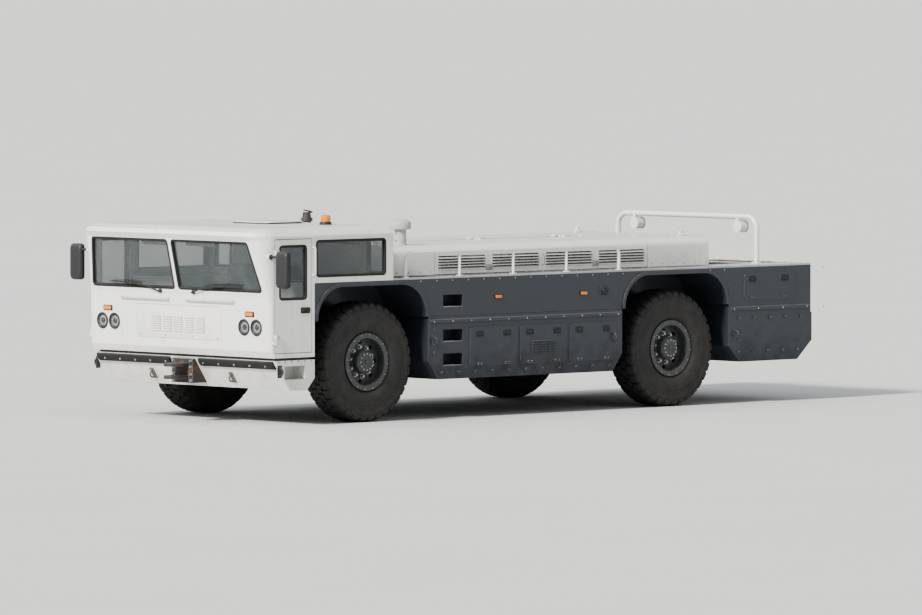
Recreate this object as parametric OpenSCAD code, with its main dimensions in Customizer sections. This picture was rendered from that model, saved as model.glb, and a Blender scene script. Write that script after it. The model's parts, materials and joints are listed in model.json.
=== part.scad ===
// Heavy aircraft pushback tractor: low full-width cab at the nose, long flat bonnet, four steered wheels.
// Millimetres. +X points forward, +Y to the tractor's left, +Z up, and the ground is at zero.

/* [Hull] */
// Length from the cab's brow to the rear bumper
body_l = 9400; // [9200:50:9800]
// Width over the hull sides
hull_w = 3300; // [3200:10:3400]
// Height of the walkways above the ground
walkway_h = 1720; // [1700:5:1760]
// Height of the belly above the ground
belly_h = 480; // [420:5:540]
// Height of the frame's top above the ground
frame_h = 1240; // [1200:5:1280]
// Width of the frame between the wheels
frame_w = 1400; // [1200:10:1500]
// Thickness of the flank panels
flank_t = 40; // [20:1:60]
// Thickness of the walkway plates
deck_t = 20; // [10:1:30]
// Seam between neighbouring panels of the hull
seam = 4; // [2:0.5:6]

/* [Wheels] */
// Distance between the axles
wheelbase = 5100; // [5000:20:5200]
// Distance from the brow back to the front axle
front_overhang = 1850; // [1830:5:1900]
// Outer diameter of a tyre
tyre_d = 1450; // [1400:10:1480]
// Width of a tyre
tyre_w = 440; // [400:5:450]
// Diameter of the rim's seat
rim_d = 635; // [600:5:680]
// Distance between the wheels' centre planes
track = 2760; // [2740:5:2770]
// Distance between the kingpins of an axle
kingpin_span = 2100; // [2080:5:2120]
// Half the length of a wheel well
arch_half_l = 920; // [915:1:935]
// Height of the flank that is left over an arch
arch_cover = 55; // [50:1:70]
// Radius of the arches' upper corners
arch_corner_r = 400; // [300:5:420]
// Diameter of the wheel spindle
spindle_d = 160; // [140:2:180]
// Diameter of the kingpin
kingpin_d = 70; // [60:2:80]
// Length of the steering arms
steering_arm_l = 350; // [330:5:370]
// Diameter of the track rod
track_rod_d = 60; // [50:2:70]
// Diameter of the axle tube
axle_d = 300; // [260:5:320]

/* [Cab] */
// Height of the cab roof above the walkways
cab_rise = 640; // [620:5:680]
// Length of the cab from the brow to its back wall
cab_l = 2200; // [2150:10:2250]
// Thickness of the cab's walls and doors
cab_t = 50; // [40:1:60]
// Height of the foot floor above the ground
foot_floor_h = 820; // [800:5:840]
// Height of the windscreen's foot above the ground
screen_foot_h = 1540; // [1500:5:1580]
// How far the windscreen leans forward from its foot to its head
screen_lean = 150; // [120:5:170]
// Width of a door
door_w = 580; // [560:5:590]
// Thickness of the window glass
glass_t = 8; // [6:1:12]
// Diameter of the steering wheel
steering_wheel_d = 440; // [400:5:460]
// Width of a seat
seat_w = 500; // [460:5:540]
// Height of a seat's back above its cushion
seat_back_h = 590; // [540:5:640]

/* [Bonnet] */
// Height of the bonnet's top above the walkways
bonnet_rise = 360; // [340:5:380]
// Width of the bonnet
bonnet_w = 2360; // [2300:10:2420]
// Thickness of the bonnet's sheet
bonnet_t = 25; // [15:1:35]
// Radius of the bonnet's shoulders
shoulder_r = 110; // [80:5:120]
// Length of the closed bonnet in front of the engine lids
bonnet_front_l = 1050; // [1000:10:1100]
// Length of the closed bonnet behind the engine lids
bonnet_rear_l = 1100; // [1050:10:1150]
// Number of louvre banks along an engine lid
louvre_banks = 4; // [2:1:6]
// Number of slats in a louvre bank
louvre_slats = 5; // [3:1:7]
// Width of the engine
engine_w = 840; // [780:10:860]

/* [Couplings] */
// Diameter of the hole for the tow pin
tow_pin_d = 60; // [50:1:70]
// Gap between the plates of a coupling, where the towbar's eye goes
jaw_gap = 110; // [90:5:130]
// Height of the front coupling above the ground
front_jaw_h = 620; // [600:5:630]
// Height of the rear coupling above the ground
rear_jaw_h = 900; // [880:5:920]
// How far the couplings stand out from their backing plates
jaw_reach = 260; // [240:5:280]
// Thickness of a coupling's plates
jaw_plate_t = 40; // [30:1:50]

/* [Hidden] */
$fn = 48;

LEFT = 1;
RIGHT = -1;
eps = 1;
run_gap = 0.05;
move_gap = 6;
seat_gap = 0.3;

roof_h = walkway_h + cab_rise;
bonnet_h = walkway_h + bonnet_rise;
jaw_back_t = 40;
jaw_back_w = 380;
nose_x = (body_l + jaw_back_t + jaw_reach + seat_gap) / 2;
tail_x = nose_x - body_l;
front_axle_x = nose_x - front_overhang;
rear_axle_x = front_axle_x - wheelbase;
axle_z = tyre_d / 2;
kingpin_y = kingpin_span / 2;
wheel_y = track / 2;
side_y = hull_w / 2;
frame_y = frame_w / 2;
cab_back_x = nose_x - cab_l;
deck_under = walkway_h - deck_t;
cab_sill_h = deck_under + seat_gap;

cab_post_x = front_axle_x + arch_half_l + seam;
belly_front_x = front_axle_x - arch_half_l - seam;
belly_back_x = rear_axle_x + arch_half_l + seam;
tail_front_x = rear_axle_x - arch_half_l - seam;
arch_lip_w = 40;
arch_lip_t = 14;
arch_top = deck_under - arch_cover - axle_z;
bumper_t = 80;
liner_t = 20;
liner_y = frame_y + 200;
tail_back_x = tail_x + bumper_t;
frame_step_h = axle_z + axle_d / 2 + 85;
cab_deck_h = axle_z + axle_d / 2 + 145;

roof_edge = 90;
brow_back = 150;
screen_head_h = roof_h - 150;
screen_head_x = nose_x - 50;
screen_foot_x = screen_head_x - screen_lean;
chin_x = screen_foot_x - 30;
chin_h = foot_floor_h + 80;
nose_bottom_h = 430;
nose_bottom_x = chin_x - 300;
foot_front_x = chin_x - 45;
floor_t = 30;
nose_top_h = foot_floor_h - floor_t - seat_gap;

corner_x = chin_x - cab_t;
door_front_x = corner_x - 10;
door_back_x = door_front_x - door_w;
door_foot_h = foot_floor_h + 60;
door_head_h = roof_h - 130;
door_window_h = screen_foot_h - 20;
hinge_pin_r = 11;
hinge_r = 18;
hinge_y = side_y + hinge_r + 5;
hinge_x = door_front_x + 8;
hinge_heights = [door_foot_h + 160, door_head_h - 180];

bonnet_y = bonnet_w / 2;
bonnet_front_x = cab_back_x - 60;
bonnet_tail_x = tail_front_x - 150;
lid_front_x = bonnet_front_x - bonnet_front_l;
lid_back_x = bonnet_tail_x + bonnet_rear_l;
lid_hinge_y = 70;

jaw_back_h = 290;
jaw_nose_r = 110;
function undercut_x(z) = nose_bottom_x + (z - nose_bottom_h) * (foot_front_x - nose_bottom_x)
    / (foot_floor_h - nose_bottom_h);
lamp_post_x = tail_x + 640;

// Box between two corners
module slab(x, y, z) {
    translate([x[0], y[0], z[0]]) cube([x[1] - x[0], y[1] - y[0], z[1] - z[0]]);
}

// Flat shape in X and Z, drawn out along Y from y[0] to y[1]
module along_y(y) {
    translate([0, y[1], 0]) rotate([90, 0, 0]) linear_extrude(y[1] - y[0]) children();
}

// Flat shape in Y and Z, drawn out along X from x[0] to x[1]
module along_x(x) {
    translate([x[0], 0, 0]) rotate([90, 0, 90]) linear_extrude(x[1] - x[0]) children();
}

module side_profile(points, y) {
    along_y(y) polygon(points);
}

module cross_profile(points, x) {
    along_x(x) polygon(points);
}

// Rectangle with round corners, its middle at zero
module round_rect(w, h, r) {
    square([w, h - 2 * r], center = true);
    square([w - 2 * r, h], center = true);
    for (x = [-w / 2 + r, w / 2 - r], y = [-h / 2 + r, h / 2 - r]) translate([x, y]) circle(r = r);
}

// Round bar along Y with its near end at the point given
module bar_y(at, d, l) {
    translate(at) rotate([-90, 0, 0]) cylinder(d = d, h = l);
}

// Round bar along X with its back end at the point given
module bar_x(at, d, l) {
    translate(at) rotate([0, 90, 0]) cylinder(d = d, h = l);
}

// Upside-down U of bent tube in the plane across the tractor, with its feet at zero
module tube_hoop(half_w, h, bend_r, d) {
    for (side = [LEFT, RIGHT]) on_side(side) {
        translate([0, half_w, 0]) cylinder(d = d, h = h - bend_r);
        translate([0, half_w - bend_r, h - bend_r]) rotate([90, 0, 90])
            rotate_extrude(angle = 90) translate([bend_r, 0]) circle(d = d);
    }
    bar_y([0, -half_w + bend_r, h], d, 2 * (half_w - bend_r));
}

// Closed shape through rings of points, from the lowest up, each anticlockwise seen from above
module loft(rings) {
    n = len(rings[0]);
    top = n * (len(rings) - 1);
    sides = [for (k = [0 : len(rings) - 2], i = [0 : n - 1])
        let(a = k * n + i, b = k * n + (i + 1) % n) each [[a, a + n, b + n], [a, b + n, b]]];
    polyhedron([for (ring = rings) each ring],
        [[for (i = [0 : n - 1]) i], [for (i = [n - 1 : -1 : 0]) top + i], each sides]);
}

// Draws its children for the left side, or mirrored for the right
module on_side(side) {
    if (side == LEFT) children();
    else mirror([0, 1, 0]) children();
}

// Central frame over both axles
module frame_spine() color([0.16, 0.17, 0.18]) {
    side_profile([
        [tail_front_x - 300, frame_step_h + 60], [cab_back_x - 40, frame_step_h + 60],
        [cab_back_x - 40, frame_step_h], [cab_post_x - 60, frame_step_h],
        [cab_post_x - 60, cab_deck_h - 30 - seat_gap], [cab_back_x - 10, cab_deck_h - 30 - seat_gap],
        [cab_back_x - 10, frame_h - seat_gap], [tail_front_x - 300, frame_h - seat_gap]
    ], [-frame_y, frame_y]);
}

step_l = 320;
step_high = 150;
step_deep = 180;
step_x = belly_front_x - 240 - step_l;
belly_steps = [belly_h + 160, belly_h + 450];
flank_step = frame_h + 110;
locker_proud = 10;
lockers = 3;
locker_gap = 60;
strake_proud = 18;
strake_z = [frame_h - 90, frame_h - 30];

// Raised cover of a locker on the hull's side
module locker(x, z) {
    translate([(x[0] + x[1]) / 2, 0, (z[0] + z[1]) / 2]) along_y([side_y - eps, side_y + locker_proud])
        round_rect(x[1] - x[0], z[1] - z[0], 40);
}

// Bevelled rubbing strake along the hull's side
module strake(x) {
    cross_profile([
        [side_y - eps, strake_z[0]], [side_y + strake_proud, strake_z[0] + 12],
        [side_y + strake_proud, strake_z[1] - 12], [side_y - eps, strake_z[1]]
    ], x);
}

// Pocket for a foot in the hull's side, from a height up
module step_pocket(x, h) {
    slab([x, x + step_l], [side_y - step_deep, side_y + eps], [h, h + step_high]);
}

// Ballast section of the hull between the axles, under the frame
module belly_box() color([0.20, 0.22, 0.24]) {
    difference() {
        side_profile([
            [belly_back_x + 160, belly_h], [belly_front_x - 160, belly_h],
            [belly_front_x, belly_h + 220], [belly_front_x, frame_h],
            [belly_back_x, frame_h], [belly_back_x, belly_h + 220]
        ], [-side_y, side_y]);
        slab([belly_back_x - eps, belly_front_x + eps], [-frame_y - seat_gap, frame_y + seat_gap],
            [frame_step_h + 60 - seat_gap, frame_h + eps]);
        for (side = [LEFT, RIGHT], h = belly_steps) on_side(side) step_pocket(step_x, h);
    }
    locker_room = [belly_back_x + 120, step_x - 120];
    locker_pitch = (locker_room[1] - locker_room[0] + locker_gap) / lockers;
    for (side = [LEFT, RIGHT]) on_side(side) {
        strake([belly_back_x + 20, belly_front_x - 20]);
        for (i = [0 : lockers - 1]) let(x = locker_room[0] + i * locker_pitch)
            locker([x, x + locker_pitch - locker_gap], [belly_h + 150, strake_z[0] - 60]);
    }
}

// Ballast section of the hull behind the rear axle, with the rear bumper plate
module tail_box() color([0.20, 0.22, 0.24]) {
    difference() {
        side_profile([
            [tail_back_x, belly_h + 260], [tail_back_x + 240, belly_h + 40],
            [tail_front_x - 200, belly_h + 40], [tail_front_x, belly_h + 240],
            [tail_front_x, deck_under], [tail_back_x, deck_under]
        ], [-side_y, side_y]);
        slab([tail_front_x - 300 - seat_gap, tail_front_x + eps],
            [-frame_y - seat_gap, frame_y + seat_gap],
            [frame_step_h + 60 - seat_gap, frame_h + seat_gap]);
    }
    slab([tail_x, tail_back_x + eps], [-side_y + 60, side_y - 60], [belly_h + 260, belly_h + 620]);
    for (side = [LEFT, RIGHT]) on_side(side) {
        strake([tail_back_x + 20, tail_front_x - 20]);
        locker([tail_back_x + 320, tail_front_x - 260], [frame_h + 60, deck_under - 90]);
    }
}

// Lower nose under the cab's foot floor, with step pockets
module nose_box() color([0.93, 0.93, 0.91]) difference() {
    side_profile([
        [cab_post_x, nose_bottom_h + 140], [cab_post_x + 120, nose_bottom_h],
        [nose_bottom_x, nose_bottom_h],
        [undercut_x(nose_top_h), nose_top_h], [cab_post_x, nose_top_h]
    ], [-side_y, side_y]);
    for (side = [LEFT, RIGHT]) on_side(side)
        slab([cab_post_x + 160, cab_post_x + 480], [side_y - 200, side_y + eps],
            [nose_bottom_h + 130, nose_bottom_h + 290]);
}

// Two plates with a hole for the tow pin, reaching out along +X from their backing at zero
module jaw(height) {
    pin_x = jaw_reach - jaw_nose_r;
    difference() {
        for (z = [height - jaw_gap / 2 - jaw_plate_t, height + jaw_gap / 2])
            translate([-eps, 0, z]) linear_extrude(jaw_plate_t) union() {
                translate([0, -jaw_nose_r]) square([pin_x + eps, 2 * jaw_nose_r]);
                translate([pin_x + eps, 0]) circle(r = jaw_nose_r);
            }
        translate([pin_x, 0, height - 200]) cylinder(d = tow_pin_d, h = 400);
    }
}

// Front coupling on a wedge that fits the nose's undercut
module front_coupling() color([0.12, 0.12, 0.13]) {
    z = [front_jaw_h - jaw_back_h / 2, front_jaw_h + jaw_back_h / 2];
    face_x = undercut_x(z[1]) + seat_gap + jaw_back_t;
    side_profile([
        [undercut_x(z[0]) + seat_gap, z[0]], [undercut_x(z[1]) + seat_gap, z[1]],
        [face_x, z[1]], [face_x, z[0]]
    ], [-jaw_back_w / 2, jaw_back_w / 2]);
    translate([face_x, 0, 0]) jaw(front_jaw_h);
}

// Rear coupling on a plate bolted to the rear bumper
module rear_coupling() color([0.12, 0.12, 0.13]) translate([tail_x - seat_gap, 0, 0]) mirror([1, 0, 0]) {
    slab([0, jaw_back_t], [-jaw_back_w / 2, jaw_back_w / 2], [rear_jaw_h - jaw_back_h / 2, rear_jaw_h + jaw_back_h / 2]);
    translate([jaw_back_t, 0, 0]) jaw(rear_jaw_h);
}

// Side view of a wheel arch about its axle: upright sides and round upper corners
module arch_outline(grow) {
    r = arch_corner_r + grow;
    half = arch_half_l - arch_lip_w + grow;
    top = arch_top + grow;
    translate([-half, -axle_z]) square([2 * half, axle_z + top - r]);
    translate([-half + r, -axle_z]) square([2 * (half - r), axle_z + top]);
    for (x = [-half + r, half - r]) translate([x, top - r]) circle(r = r);
}

// Upper flank panel with the lipped tops of both wheel arches, and a liner over each wheel
module flank() color([0.20, 0.22, 0.24]) {
    difference() {
        slab([tail_front_x + seam, cab_post_x - seam], [side_y - flank_t, side_y],
            [frame_h + seam, deck_under]);
        for (x = [front_axle_x, rear_axle_x])
            translate([x, 0, axle_z]) along_y([side_y - flank_t - eps, side_y + eps]) arch_outline(0);
        step_pocket(step_x, flank_step);
    }
    for (x = [front_axle_x, rear_axle_x]) intersection() {
        translate([x, 0, axle_z]) {
            along_y([side_y - eps, side_y + arch_lip_t]) difference() {
                arch_outline(arch_lip_w);
                arch_outline(0);
            }
            difference() {
                along_y([liner_y, side_y - flank_t + eps]) arch_outline(liner_t);
                along_y([liner_y + liner_t, side_y]) arch_outline(0);
            }
        }
        slab([x - 2 * arch_half_l, x + 2 * arch_half_l], [0, side_y + arch_lip_t],
            [frame_h + seam, deck_under]);
    }
}

module flank_left() flank();
module flank_right() mirror([0, 1, 0]) flank();

// Walkway beside the bonnet, with half of the rear deck
module deck() color([0.72, 0.73, 0.72]) linear_extrude(deck_t) polygon([
    [cab_back_x - seam, side_y], [tail_back_x, side_y], [tail_back_x, seam / 2],
    [bonnet_tail_x - seam, seam / 2], [bonnet_tail_x - seam, bonnet_y + seam],
    [cab_back_x - seam, bonnet_y + seam]
]);

module deck_left() translate([0, 0, deck_under]) deck();
module deck_right() mirror([0, 1, 0]) translate([0, 0, deck_under]) deck();

// The cab's outside, level by level: its front, half width, back and height
cab_outside = [
    [foot_front_x, side_y, cab_back_x, foot_floor_h],
    [chin_x, side_y, cab_back_x, chin_h],
    [screen_foot_x, side_y, cab_back_x, screen_foot_h],
    [screen_head_x, side_y, cab_back_x, screen_head_h],
    [nose_x, side_y, cab_back_x, roof_h - roof_edge],
    [nose_x - 35, side_y - 25, cab_back_x + 25, roof_h - 40],
    [nose_x - brow_back, side_y - roof_edge, cab_back_x + roof_edge, roof_h]
];

// The space inside the cab, in the same columns
cab_inside = [
    [foot_front_x - cab_t, side_y - cab_t, cab_back_x + cab_t, foot_floor_h - eps],
    [chin_x - cab_t, side_y - cab_t, cab_back_x + cab_t, chin_h],
    [screen_foot_x - cab_t, side_y - cab_t, cab_back_x + cab_t, screen_foot_h],
    [screen_head_x - cab_t, side_y - cab_t, cab_back_x + cab_t, screen_head_h],
    [screen_head_x - cab_t, side_y - cab_t - 25, cab_back_x + cab_t + 25, roof_h - cab_t - 20]
];
corner_steps = 8;

// Radius of the cab's front corners: their arcs start where the side walls end
function corner_r(front, inset) = max(front - corner_x, 15 + inset / 2);

// One level of the cab, from the back right corner round the nose to the back left
function cab_ring(level, inset) =
    let(r = corner_r(level[0], inset), x = level[0] - r, y = level[1] - r)
    [
        [level[2], -level[1], level[3]],
        for (i = [0 : corner_steps]) let(a = 90 * i / corner_steps)
            [x + r * sin(a), -y - r * cos(a), level[3]],
        for (i = [0 : corner_steps]) let(a = 90 * i / corner_steps)
            [x + r * cos(a), y + r * sin(a), level[3]],
        [level[2], level[1], level[3]]
    ];

tub_y = frame_y + 90;
headlamp_h = 1180;
headlamp_d = 170;
headlamp_depth = 25;
headlamp_y = [side_y - 470, side_y - 250];
function front_panel_x(z) = chin_x + (z - chin_h) * (screen_foot_x - chin_x) / (screen_foot_h - chin_h);

screen_margin = 70;
screen_slope = screen_lean / (screen_head_h - screen_foot_h);
function screen_x(z) = screen_foot_x + (z - screen_foot_h) * screen_slope;
screen_low = screen_foot_h + screen_margin;
screen_high = screen_head_h - 20;
screen_post_w = 40;
function screen_edge(z) = side_y - corner_r(screen_x(z), 0) - 20;
side_window_x = [cab_back_x + 130, door_back_x - 90];
side_window_z = [walkway_h + 60, door_head_h - 30];
rear_window_y = [bonnet_y + 60, side_y - cab_t - 70];
rear_window_z = [walkway_h + 70, roof_h - roof_edge - 60];
high_window_y = [-bonnet_y + 90, bonnet_y - 90];
high_window_z = [bonnet_h + 50, roof_h - roof_edge - 30];

// Windscreen opening or pane beside the centre post: grow widens it all round
module screen_pane(back, front, grow) {
    z = [screen_low - grow, screen_high + grow];
    intersection() {
        side_profile([
            [screen_x(z[0]) - back, z[0]], [screen_x(z[1]) - back, z[1]],
            [screen_x(z[1]) - front, z[1]], [screen_x(z[0]) - front, z[0]]
        ], [0, side_y]);
        cross_profile([
            [screen_post_w - grow, z[0] - eps], [screen_edge(z[0]) + grow, z[0] - eps],
            [screen_edge(z[1]) + grow, z[1] + eps], [screen_post_w - grow, z[1] + eps]
        ], [corner_x - 2 * cab_t, nose_x + cab_t]);
    }
}

module side_pane(y, grow) {
    slab([side_window_x[0] - grow, side_window_x[1] + grow], y,
        [side_window_z[0] - grow, side_window_z[1] + grow]);
}

module rear_pane(x, grow) {
    slab(x, [rear_window_y[0] - grow, rear_window_y[1] + grow],
        [rear_window_z[0] - grow, rear_window_z[1] + grow]);
}

// Low window in the cab's back wall, over the bonnet
module high_pane(x, grow) {
    slab(x, [high_window_y[0] - grow, high_window_y[1] + grow],
        [high_window_z[0] - grow, high_window_z[1] + grow]);
}

mirror_arm = [chin_x + 20, side_y + 12, roof_h - 330];

// Fixed halves of a door's hinges, with their pins
module hinge_lugs() {
    for (z = hinge_heights) {
        slab([hinge_x, hinge_x + 36], [side_y - 30, hinge_y], [z - 60, z - 8]);
        translate([hinge_x, hinge_y, z - 60]) cylinder(r = hinge_r, h = 52);
        translate([hinge_x, hinge_y, z - 60]) cylinder(r = hinge_pin_r, h = 118);
    }
}

// White shell of the cab: walls, roof and brow, with its door and window openings
module cab_shell() color([0.94, 0.94, 0.92]) {
    difference() {
        loft([for (level = cab_outside) cab_ring(level, 0)]);
        slab([cab_back_x - eps, cab_post_x], [-side_y - eps, side_y + eps], [foot_floor_h - eps, cab_sill_h]);
        difference() {
            loft([for (level = cab_inside) cab_ring(level, cab_t)]);
            slab([cab_back_x, cab_post_x + cab_t], [-side_y, side_y], [0, cab_sill_h - eps]);
        }
        for (side = [LEFT, RIGHT]) on_side(side) {
            slab([door_back_x - move_gap, door_front_x + move_gap], [side_y - cab_t - eps, side_y + eps],
                [door_foot_h - move_gap, door_head_h + move_gap]);
            screen_pane(-20, cab_t + 20, 0);
            side_pane([side_y - cab_t - eps, side_y + eps], 0);
            rear_pane([cab_back_x - eps, cab_back_x + cab_t + eps], 0);
            for (y = headlamp_y)
                bar_x([front_panel_x(headlamp_h) - headlamp_depth, y, headlamp_h], headlamp_d + 4, 100);
        }
        high_pane([cab_back_x - eps, cab_back_x + cab_t + eps], 0);
        slab([cab_post_x - eps, cab_post_x + cab_t + eps], [-tub_y - seat_gap, tub_y + seat_gap],
            [foot_floor_h - eps, cab_sill_h + eps]);
    }
    for (side = [LEFT, RIGHT]) on_side(side) {
        hinge_lugs();
        bar_y([mirror_arm[0], mirror_arm[1] - 55, mirror_arm[2]], 60, 55);
    }
}

// Folded floor of the cab: foot floor, riser, seat deck and wheel boxes
module cab_floor() color([0.25, 0.26, 0.27]) {
    riser_x = [cab_post_x + cab_t - floor_t, cab_post_x + cab_t + seat_gap + eps];
    back_x = cab_back_x + cab_t + seat_gap;
    tub_out = side_y - cab_t - seat_gap;
    slab([cab_post_x + cab_t + seat_gap, foot_front_x - cab_t - 20], [-tub_out, tub_out],
        [foot_floor_h - floor_t, foot_floor_h]);
    slab(riser_x, [-tub_y, tub_y], [foot_floor_h - floor_t, cab_deck_h]);
    slab([back_x, riser_x[1]], [-tub_y, tub_y], [cab_deck_h - floor_t, cab_deck_h]);
    for (side = [LEFT, RIGHT]) on_side(side) {
        slab([back_x, riser_x[1]], [tub_y - 20, tub_y], [cab_deck_h - eps, deck_under]);
        slab([back_x, cab_post_x - seat_gap], [tub_y - 20, tub_out], [deck_under - 20, deck_under]);
    }
}

module cab_glass() color([0.25, 0.32, 0.34, 0.6]) {
    for (side = [LEFT, RIGHT]) on_side(side) {
        screen_pane(20, 20 + glass_t, -seat_gap);
        side_pane([side_y - cab_t / 2, side_y - cab_t / 2 + glass_t], -seat_gap);
        rear_pane([cab_back_x + cab_t / 2, cab_back_x + cab_t / 2 + glass_t], -seat_gap);
    }
    high_pane([cab_back_x + cab_t / 2, cab_back_x + cab_t / 2 + glass_t], -seat_gap);
}

column_y = 430;
wheel_hub = [chin_x - 590, column_y, 1440];
column_tilt = -35;
column_l = 760;
dash_y = 950;
dash_top_h = screen_foot_h - 40;
dash_low_h = screen_foot_h - 330;

// Dashboard under the windscreen, with the steering column that stands on the foot floor
module dashboard() color([0.13, 0.13, 0.14]) {
    inner = cab_t + seat_gap;
    side_profile([
        [front_panel_x(dash_top_h) - inner, dash_top_h], [screen_foot_x - cab_t - 330, dash_top_h - 60],
        [screen_foot_x - cab_t - 350, dash_top_h - 190], [chin_x - cab_t - 150, dash_low_h],
        [front_panel_x(dash_low_h) - inner, dash_low_h]
    ], [-dash_y, dash_y]);
    difference() {
        translate(wheel_hub) rotate([0, column_tilt, 0]) translate([0, 0, -column_l - 24])
            cylinder(d = 80, h = column_l);
        slab([chin_x - 500, chin_x], [0, side_y], [0, foot_floor_h + seat_gap]);
    }
}

module steering_wheel() color([0.08, 0.08, 0.08])
    translate(wheel_hub) rotate([0, column_tilt, 0]) {
        rotate_extrude() translate([steering_wheel_d / 2 - 16, 0]) circle(d = 32);
        cylinder(d = 90, h = 40, center = true);
        for (a = [0, 120, 240]) rotate([0, 0, a + 30])
            slab([30, steering_wheel_d / 2 - 20], [-16, 16], [-8, 8]);
        translate([0, 0, -24 + seat_gap]) cylinder(d = 50, h = 24);
    }

seat_base_h = 130;
cushion_t = 140;

// One seat: base, cushion and backrest
module seat() {
    cushion_h = seat_base_h + cushion_t;
    slab([-190, 190], [-190, 190], [0, seat_base_h]);
    slab([-240, 260], [-seat_w / 2, seat_w / 2], [seat_base_h, cushion_h]);
    side_profile([
        [-240, cushion_h - eps], [-130, cushion_h - eps],
        [-210, cushion_h + seat_back_h], [-320, cushion_h + seat_back_h]
    ], [-seat_w / 2 + 10, seat_w / 2 - 10]);
}

module cab_seats() color([0.12, 0.13, 0.15])
    for (y = [-column_y, column_y])
        translate([cab_post_x - 430, y, cab_deck_h + seat_gap]) seat();

// Door leaf with its window opening and hinge eyes
module door_leaf() color([0.94, 0.94, 0.92]) difference() {
    union() {
        slab([door_back_x, door_front_x], [side_y - cab_t, side_y], [door_foot_h, door_head_h]);
        for (z = hinge_heights) {
            translate([hinge_x, hinge_y, z]) cylinder(r = hinge_r, h = 60);
            slab([hinge_x - 60, hinge_x - 5], [side_y - eps, hinge_y], [z, z + 60]);
        }
    }
    for (z = hinge_heights)
        translate([hinge_x, hinge_y, z - eps]) cylinder(r = hinge_pin_r + run_gap, h = 70);
    door_window([side_y - cab_t - eps, side_y + eps], 0);
}

module door_window(y, grow) {
    slab([door_back_x + 80 - grow, door_front_x - 80 + grow], y,
        [door_window_h - grow, door_head_h - 80 + grow]);
}

module door_pane() color([0.25, 0.32, 0.34, 0.6])
    door_window([side_y - cab_t / 2, side_y - cab_t / 2 + glass_t], -seat_gap);

module door_left() door_leaf();
module door_right() mirror([0, 1, 0]) door_leaf();
module door_glass_left() door_pane();
module door_glass_right() mirror([0, 1, 0]) door_pane();

// Cross section of the bonnet at a distance inside its surface: flat top with round shoulders
module bonnet_outline(inset, foot_h) {
    y = bonnet_y - inset;
    top = bonnet_h - inset;
    r = shoulder_r - inset;
    translate([-y, foot_h]) square([2 * y, top - r - foot_h]);
    translate([-y + r, foot_h]) square([2 * (y - r), top - foot_h]);
    for (side = [LEFT, RIGHT]) translate([side * (y - r), top - r]) circle(r = r);
}

lid_hinge_h = bonnet_h + 18;
lid_pin_r = 8;
lid_hinge_x = [for (i = [0.1, 0.5, 0.9]) lid_back_x + i * (lid_front_x - lid_back_x)];

// Fixed section of the bonnet over a narrower box that stands on the frame
module bonnet_section_box(x, foot_x) {
    along_x(x) bonnet_outline(0, walkway_h);
    slab(foot_x, [-frame_y, frame_y], [frame_h, walkway_h + eps]);
}

// Closed front of the bonnet, and the beam with the pins that carry the engine lids
module bonnet_front() color([0.90, 0.90, 0.88]) {
    bonnet_section_box([lid_front_x, bonnet_front_x], [lid_front_x, bonnet_front_x]);
    slab([lid_back_x + seat_gap, lid_front_x + eps], [-lid_hinge_y + move_gap, lid_hinge_y - move_gap],
        [bonnet_h - 110, bonnet_h - 10]);
    for (side = [LEFT, RIGHT], x = lid_hinge_x) on_side(side) {
        slab([x - 60, x - 6], [lid_hinge_y - 40, lid_hinge_y - 5], [bonnet_h - 11, lid_hinge_h]);
        bar_x([x - 60, lid_hinge_y, lid_hinge_h], 30, 54);
        bar_x([x - 60, lid_hinge_y, lid_hinge_h], 2 * lid_pin_r, 118);
    }
}

module bonnet_rear() color([0.90, 0.90, 0.88])
    bonnet_section_box([bonnet_tail_x + 40, lid_back_x], [tail_front_x + seat_gap, lid_back_x]);

// Slatted guard of the radiator at the back of the bonnet
module radiator_grille() color([0.10, 0.10, 0.11]) {
    difference() {
        slab([bonnet_tail_x, bonnet_tail_x + 40 - seat_gap], [-bonnet_y + 120, bonnet_y - 120],
            [walkway_h + 5, bonnet_h - 40]);
        slab([bonnet_tail_x - eps, bonnet_tail_x + 25], [-bonnet_y + 160, bonnet_y - 160],
            [walkway_h + 45, bonnet_h - 80]);
    }
    for (z = [walkway_h + 70 : 40 : bonnet_h - 110])
        slab([bonnet_tail_x, bonnet_tail_x + 26], [-bonnet_y + 150, bonnet_y - 150], [z, z + 16]);
}

louvre_end = 60;
louvre_z = [walkway_h + 55, bonnet_h - shoulder_r - 25];
slat_t = 6;
slat_rise = 18;
louvre_proud = 8;

// Bank of louvres let into a lid's side: slats that slant up inwards between two ends
module louvre_bank(x) {
    pitch = (louvre_z[1] - louvre_z[0]) / louvre_slats;
    for (i = [0 : louvre_slats - 1]) let(z = louvre_z[0] + i * pitch)
        cross_profile([
            [bonnet_y + louvre_proud, z], [bonnet_y + louvre_proud, z + slat_t],
            [bonnet_y - bonnet_t, z + slat_t + slat_rise], [bonnet_y - bonnet_t, z + slat_rise]
        ], [x[0] - eps, x[1] + eps]);
}

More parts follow.
